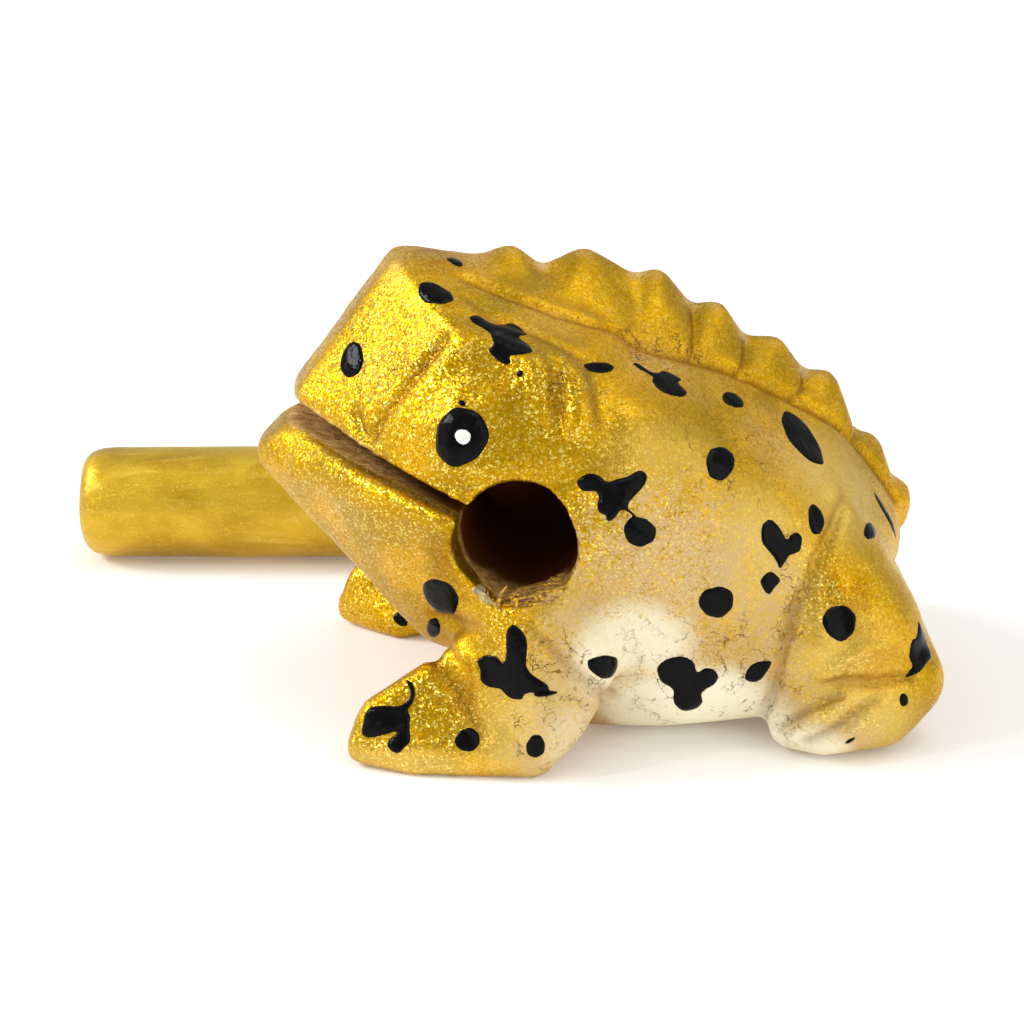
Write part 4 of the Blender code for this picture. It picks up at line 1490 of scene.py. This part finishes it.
@dataclass
class TornRim:
    """What the drill left along the lower rim of each bore: a torn ledge and a few splinters."""

    bore: Bore
    shreds: int = 80
    ledge_angles: tuple[float, float] = (258.0, 318.0)
    ledge_depths: tuple[float, float] = (1.7, 6.6)
    splinters: tuple[tuple[float, float, float, float], ...] = (
        (254.0, 1.6, 2.3, 0.26), (266.0, 2.2, 1.7, 0.22), (271.0, 1.4, 1.2, 0.18), (243.0, 1.2, 1.3, 0.20),
        (281.0, 2.4, 1.3, 0.16), (236.0, 1.8, 1.0, 0.20), (292.0, 1.8, 1.1, 0.15),
    )
    glue: tuple[tuple[float, float, float], ...] = (
        (230.0, 1.5, 0.50), (234.0, 2.0, 0.60), (238.0, 1.4, 0.50), (242.0, 1.0, 0.42), (246.0, 0.9, 0.36),
        (251.0, 0.9, 0.30), (233.0, 2.8, 0.45),
    )

    def wall(self, side: Side, angle: float, deep: float, inset: float = 0.0) -> tuple[Vector, Vector]:
        """Return a point on the bore's wall and the direction from it to the bore's axis.

        Args:
            side: The bore.
            angle: Degrees round it, from the back upward.
            deep: How far in from the cheek, in mm.
            inset: How far off the wall toward the axis, in mm.

        Returns:
            The point, in mm, and the direction.
        """
        start, run = self.bore.axis(side)
        centre = start + run * (self.bore.start_x - self.bore.cheek_x + deep)
        across = Vector((-run.y, run.x, 0.0)) * (-side.value)
        turn = math.radians(angle)
        outward = across * math.cos(turn) + Vector((0.0, 0.0, 1.0)) * math.sin(turn)
        return centre + outward * (self.bore.radius - inset), -outward

    def build(self, side: Side, finish: bpy.types.Material) -> None:
        """Make one side's ledge and splinters."""
        shape = bmesh.new()
        rng = np.random.default_rng(11 if side is Side.LEFT else 12)
        self.ledge(shape, side)
        _, run = self.bore.axis(side)
        for _ in range(self.shreds):
            angle = rng.uniform(262.0, 314.0)
            foot, inward = self.wall(side, angle, rng.uniform(1.8, 6.2), rng.uniform(0.25, 0.75))
            along = run * rng.uniform(-0.35, 0.35) + Vector((0.0, rng.uniform(0.6, 1.2), 0.0))
            tip = foot + along.normalized() * rng.uniform(0.8, 1.8) + inward * rng.uniform(0.05, 0.35)
            skin(shape, ((*foot, rng.uniform(0.16, 0.28)), (*tip, rng.uniform(0.08, 0.14))), 1)
        for angle, deep, length, thick in self.splinters:
            foot, inward = self.wall(side, angle, deep, -0.2)
            lean = (inward + Vector(rng.uniform(-0.28, 0.28, 3))).normalized()
            middle = foot + lean * (0.55 * length)
            tip = middle + (lean + Vector(rng.uniform(-0.4, 0.4, 3))).normalized() * (0.5 * length)
            skin(shape, ((*foot, 1.2 * thick), (*middle, 0.8 * thick)), 2)
            skin(shape, ((*middle, 0.8 * thick), (*tip, 0.3 * thick)), 2)
        item = link_mesh(f"{side.name.lower()}_bore_splinters", shape)
        remesh(item, 0.09, 1)
        item.data.shade_smooth()
        dress(item, finish, "frog")

    def ledge(self, shape: bmesh.types.BMesh, side: Side) -> None:
        """Add the solid ledge: a strip of the wall's floor lifted into ragged fibres."""
        made = bmesh.ops.create_grid(shape, x_segments=70, y_segments=44, size=0.5)["verts"]
        flat = np.array([vert.co for vert in made])
        share, depth_share = flat[:, 0] + 0.5, flat[:, 1] + 0.5
        level = np.zeros(len(flat))
        fibres = rolling(np.column_stack((share * 6.0, depth_share * 20.0, level)), 1.1, 21.0)
        tufts = rolling(np.column_stack((share * 7.0, depth_share * 6.0, level)), 1.3, 27.0)
        lift = np.sqrt(np.sin(np.pi * share)) * (0.15 + 0.5 * smoothstep(depth_share, 0.05, 0.6))
        lift = lift + (0.14 * fibres + 0.24 * tufts) * np.sin(np.pi * share)
        strip = list({face for vert in made for face in vert.link_faces})
        rim = bmesh.ops.extrude_face_region(shape, geom=strip)
        under = [item for item in rim["geom"] if isinstance(item, bmesh.types.BMVert)]
        first, last = self.ledge_angles
        near, far = self.ledge_depths
        for vert, across, inward, height in zip(made, share, depth_share, lift):
            angle = first + across * (last - first)
            vert.co = self.wall(side, angle, near + inward * (far - near), height)[0]
        for vert in under:
            angle = first + (vert.co.x + 0.5) * (last - first)
            vert.co = self.wall(side, angle, near + (vert.co.y + 0.5) * (far - near), -0.5)[0]
        bmesh.ops.scale(shape, vec=(MM, MM, MM), verts=shape.verts)
        bmesh.ops.recalc_face_normals(shape, faces=shape.faces)

    def build_glue(self, side: Side, finish: bpy.types.Material) -> None:
        """Make the dried lump of glue at the bore's lower front."""
        shape = bmesh.new()
        for angle, deep, radius in self.glue:
            spot, _ = self.wall(side, angle, deep, 0.3 * radius)
            skin(shape, ((*spot, radius),), 2)
        item = link_mesh(f"{side.name.lower()}_bore_glue", shape)
        remesh(item, 0.12, 2)
        points = coordinates(item)
        rough = 0.14 * rolling(points, 0.5, 31.0)
        store_coordinates(item, points + vertex_normals(item) * rough[:, None])
        item.data.shade_smooth()
        dress(item, finish, "frog")


@dataclass(frozen=True)
class DriedGlue:
    """Cloudy dried glue dusted with gold."""

    cloudy: Colour = linear(186, 176, 150)
    dull: Colour = linear(140, 122, 84)
    dust: Colour = linear(206, 162, 40)

    def build(self) -> bpy.types.Material:
        """Make the material."""
        sheet = NodeSheet("dried_glue")
        cloud = sheet.mottle(0.5, 4.0)
        gilt = sheet.mottle(0.4, 3.0).step(0.54, 0.62)
        colour = sheet.mix(cloud.step(0.35, 0.65), self.dull, self.cloudy)
        colour = sheet.mix(gilt, colour, self.dust)
        return sheet.finish(
            Base_Color=colour, Metallic=gilt * 0.7, Roughness=0.35 + 0.2 * cloud,
            Normal=sheet.bump(cloud, 0.1, 0.6),
        )


@dataclass(frozen=True)
class SplinterWood:
    """Torn pale wood with a little gold on it."""

    pale: Colour = linear(200, 156, 76)
    brown: Colour = linear(124, 84, 28)
    gilt: Colour = linear(236, 190, 50)

    def build(self) -> bpy.types.Material:
        """Make the material."""
        sheet = NodeSheet("torn_wood")
        streak = sheet.mottle(0.5, 5.0, (1.0, 0.4, 2.0))
        colour = sheet.mix(streak.step(0.35, 0.65), self.brown, self.pale)
        gilt = sheet.mottle(0.7, 3.0).step(0.52, 0.62)
        colour = sheet.mix(gilt, colour, self.gilt)
        return sheet.finish(
            Base_Color=colour, Metallic=gilt * 0.7, Roughness=0.68 - 0.25 * gilt,
            Normal=sheet.bump(streak, 0.12, 0.7),
        )


@dataclass(frozen=True)
class BrushedGold:
    """The stick's smoother gold paint, brushed along its length."""

    gold: Colour = linear(224, 184, 44)
    shade: Colour = linear(198, 156, 22)
    # Painted highlight colour for the brush streaks and scattered flakes.
    painted_highlight: Colour = linear(250, 224, 104)

    def build(self) -> bpy.types.Material:
        """Make the material."""
        sheet = NodeSheet("brushed_gold")
        streak = sheet.mottle(1.5, 5.0, (1.0, 0.12, 1.0))
        cloud = sheet.mottle(6.0, 4.0, (1.0, 0.6, 1.0))
        cell = sheet.cells(0.15)
        chance = sheet.split(cell.also("Color"))
        colour = sheet.mix(cloud.step(0.35, 0.65), self.shade, self.gold)
        # Painted highlights along the brush streaks and on scattered flakes.
        colour = sheet.mix(streak.step(0.52, 0.75) * 0.35, colour, self.painted_highlight)
        colour = sheet.mix(chance.step(0.9, 0.99) * 0.5, colour, self.painted_highlight)
        bumps = sheet.bump(streak, 0.30, 0.6)
        normal = sheet.bump(sheet.flake_slope(cell) * 0.30, METRE, 0.8, bumps)
        return sheet.finish(
            Base_Color=colour, Metallic=0.82 + 0.1 * cloud, Roughness=0.36 + 0.12 * streak, Normal=normal,
            Coat_Weight=0.2 + 0.1 * cloud, Coat_Roughness=0.18,
        )


@dataclass
class StrikerStick:
    """The turned stick: a thick blunt end and a thinner shank."""

    profile: tuple[tuple[float, float], ...] = (
        (0.0, 5.2), (0.15, 5.6), (0.5, 6.1), (0.9, 6.5), (1.3, 6.8), (1.9, 7.05), (2.6, 7.25), (4.2, 7.4),
        (20.0, 7.5), (38.0, 7.5), (39.6, 7.4), (41.0, 7.1), (43.0, 6.2), (45.0, 5.4), (46.5, 4.95),
        (48.0, 4.7), (52.0, 4.5), (90.0, 4.5), (91.8, 4.4), (93.0, 4.1), (94.0, 3.65), (94.6, 3.2),
        (95.0, 2.2),
    )
    around: int = 96
    ring_gap: float = 0.9
    place: Point = (-50.0, -62.3, 7.5)
    turn: float = 5.0

    def build(self) -> None:
        """Turn the stick, roughen it slightly and lay it down."""
        shape = bmesh.new()
        chain = [shape.verts.new((0.0, 0.0, 0.0))]
        chain += [shape.verts.new((radius * MM, along * MM, 0.0)) for along, radius in self.fine_profile()]
        chain.append(shape.verts.new((0.0, self.profile[-1][0] * MM, 0.0)))
        edges = [shape.edges.new(pair) for pair in zip(chain, chain[1:])]
        bmesh.ops.spin(
            shape, geom=chain + edges, axis=(0.0, 1.0, 0.0), cent=(0.0, 0.0, 0.0), angle=math.tau,
            steps=self.around, use_merge=True,
        )
        bmesh.ops.remove_doubles(shape, verts=shape.verts, dist=0.000001)
        turn = Matrix.Rotation(-math.radians(self.turn), 4, "Z")
        lay = Matrix.Translation(Vector(self.place) * MM) @ turn
        bmesh.ops.transform(shape, matrix=lay, verts=shape.verts)
        item = link_mesh("painted_stick", shape)
        points = coordinates(item)
        rough = 0.10 * rolling(points * np.array((1.0, 0.35, 1.0)), 3.5, 21.0)
        rough += 0.03 * rolling(points, 0.9, 25.0)
        raised = points + vertex_normals(item) * (rough - 0.06)[:, None]
        raised[:, 2] = np.maximum(raised[:, 2], 0.0)
        store_coordinates(item, raised)
        item.data.shade_smooth()
        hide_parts("striker_stick")
        dress(item, BrushedGold().build(), "striker")

    def fine_profile(self) -> list[tuple[float, float]]:
        """Return the profile with the long stretches divided."""
        fine = [self.profile[0]]
        for (start, low), (end, high) in zip(self.profile, self.profile[1:]):
            parts = max(1, math.ceil((end - start) / self.ring_gap))
            fine += [
                (start + (end - start) * part / parts, low + (high - low) * part / parts)
                for part in range(1, parts + 1)
            ]
        return fine


@dataclass
class Studio:
    """Pale floor, soft lights and the camera.

    A far light is a name, the direction it comes from, its spread in degrees and its strength.
    A panel is a name, a place in mm, a size in metres and a power.
    """

    azimuth: float = 85.0
    elevation: float = 19.0
    distance: float = 300.0
    target: Point = (0.0, -9.0, 21.55)
    lens: float = 90.7
    sensor: float = 36.0
    aim_height: float = 20.0
    floor_glow: float = 0.14
    air_glow: float = 0.60
    far_lights: tuple[tuple[str, Point, float, float], ...] = (
        ("key", (-0.14, -0.80, 0.58), 22.0, 1.45),
        ("top", (0.10, 0.34, 0.93), 45.0, 0.62),
        ("rear_fill", (0.60, 0.70, 0.38), 50.0, 0.55),
    )
    panels: tuple[tuple[str, Point, float, float], ...] = (
        ("front_panel", (150.0, -430.0, 120.0), 0.35, 0.15),
        ("small_panel", (140.0, -320.0, 330.0), 0.05, 0.25),
    )

    def build(self) -> None:
        """Set up the whole studio."""
        self.floor()
        self.lights()
        self.camera()

    def floor(self) -> None:
        """Lay the floor."""
        shape = bmesh.new()
        bmesh.ops.create_grid(shape, x_segments=1, y_segments=1, size=3.0)
        floor = link_mesh("studio_floor", shape)
        sheet = NodeSheet("pale_floor")
        colour = sheet.mix(sheet.mottle(60.0, 2.0) * 0.2, linear(250, 250, 250), linear(246, 246, 247))
        floor.data.materials.append(sheet.finish(
            Base_Color=colour, Roughness=0.9,
            Emission_Color=(1.0, 1.0, 1.0), Emission_Strength=self.floor_glow,
        ))

    def panel(self, name: str, place: Point, size: float, power: float) -> None:
        """Add one soft square light aimed at the frog, with its place in mm."""
        data = bpy.data.lights.new(name, "AREA")
        data.energy = power
        data.size = size
        lamp = bpy.data.objects.new(name, data)
        lamp.location = Vector(place) * MM
        aim = Vector((0.0, 0.0, self.aim_height)) * MM - lamp.location
        lamp.rotation_euler = aim.to_track_quat("-Z", "Y").to_euler()
        bpy.context.scene.collection.objects.link(lamp)

    def sky_light(self, name: str, toward: Point, spread: float, strength: float) -> None:
        """Add one wide far-off light from a direction, with its spread in degrees."""
        data = bpy.data.lights.new(name, "SUN")
        data.energy = strength
        data.angle = math.radians(spread)
        lamp = bpy.data.objects.new(name, data)
        lamp.rotation_euler = (-Vector(toward)).to_track_quat("-Z", "Y").to_euler()
        bpy.context.scene.collection.objects.link(lamp)

    def lights(self) -> None:
        """Place the lights and the pale surroundings."""
        for name, toward, spread, strength in self.far_lights:
            self.sky_light(name, toward, spread, strength)
        for name, place, size, power in self.panels:
            self.panel(name, place, size, power)
        world = bpy.data.worlds.new("studio_air")
        world.use_nodes = True
        background = world.node_tree.nodes["Background"]
        background.inputs["Color"].default_value = (1.0, 1.0, 1.0, 1.0)
        background.inputs["Strength"].default_value = self.air_glow
        bpy.context.scene.world = world

    def camera(self) -> None:
        """Place the camera."""
        azimuth, elevation = math.radians(self.azimuth), math.radians(self.elevation)
        back = Vector((math.sin(azimuth) * math.cos(elevation), -math.cos(azimuth) * math.cos(elevation),
                       math.sin(elevation)))
        target = Vector(self.target) * MM
        data = bpy.data.cameras.new("camera")
        data.lens = self.lens
        data.sensor_width = self.sensor
        data.clip_start = 0.01
        camera = bpy.data.objects.new("camera", data)
        camera.location = target + back * self.distance * MM
        camera.rotation_euler = (-back).to_track_quat("-Z", "Y").to_euler()
        bpy.context.scene.collection.objects.link(camera)
        bpy.context.scene.camera = camera


def main() -> None:
    """Build the frog, its paint, its stick and the studio, in that order."""
    logging.basicConfig(level=logging.INFO, format="%(message)s")
    bpy.context.scene.view_settings.view_transform = "Standard"
    carving = FrogCarving()
    body = carving.build()
    PaintMap(carving).apply(body)
    body.data.shade_smooth()
    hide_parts("frog_body")
    dress(body, GoldFlake().build(), "frog")
    Spots().build(body)
    rim = TornRim(carving.bore)
    splinters = SplinterWood().build()
    for side in Side:
        rim.build(side, splinters)
    rim.build_glue(Side.LEFT, DriedGlue().build())
    StrikerStick().build()
    Studio().build()


if __name__ == "__main__":
    main()
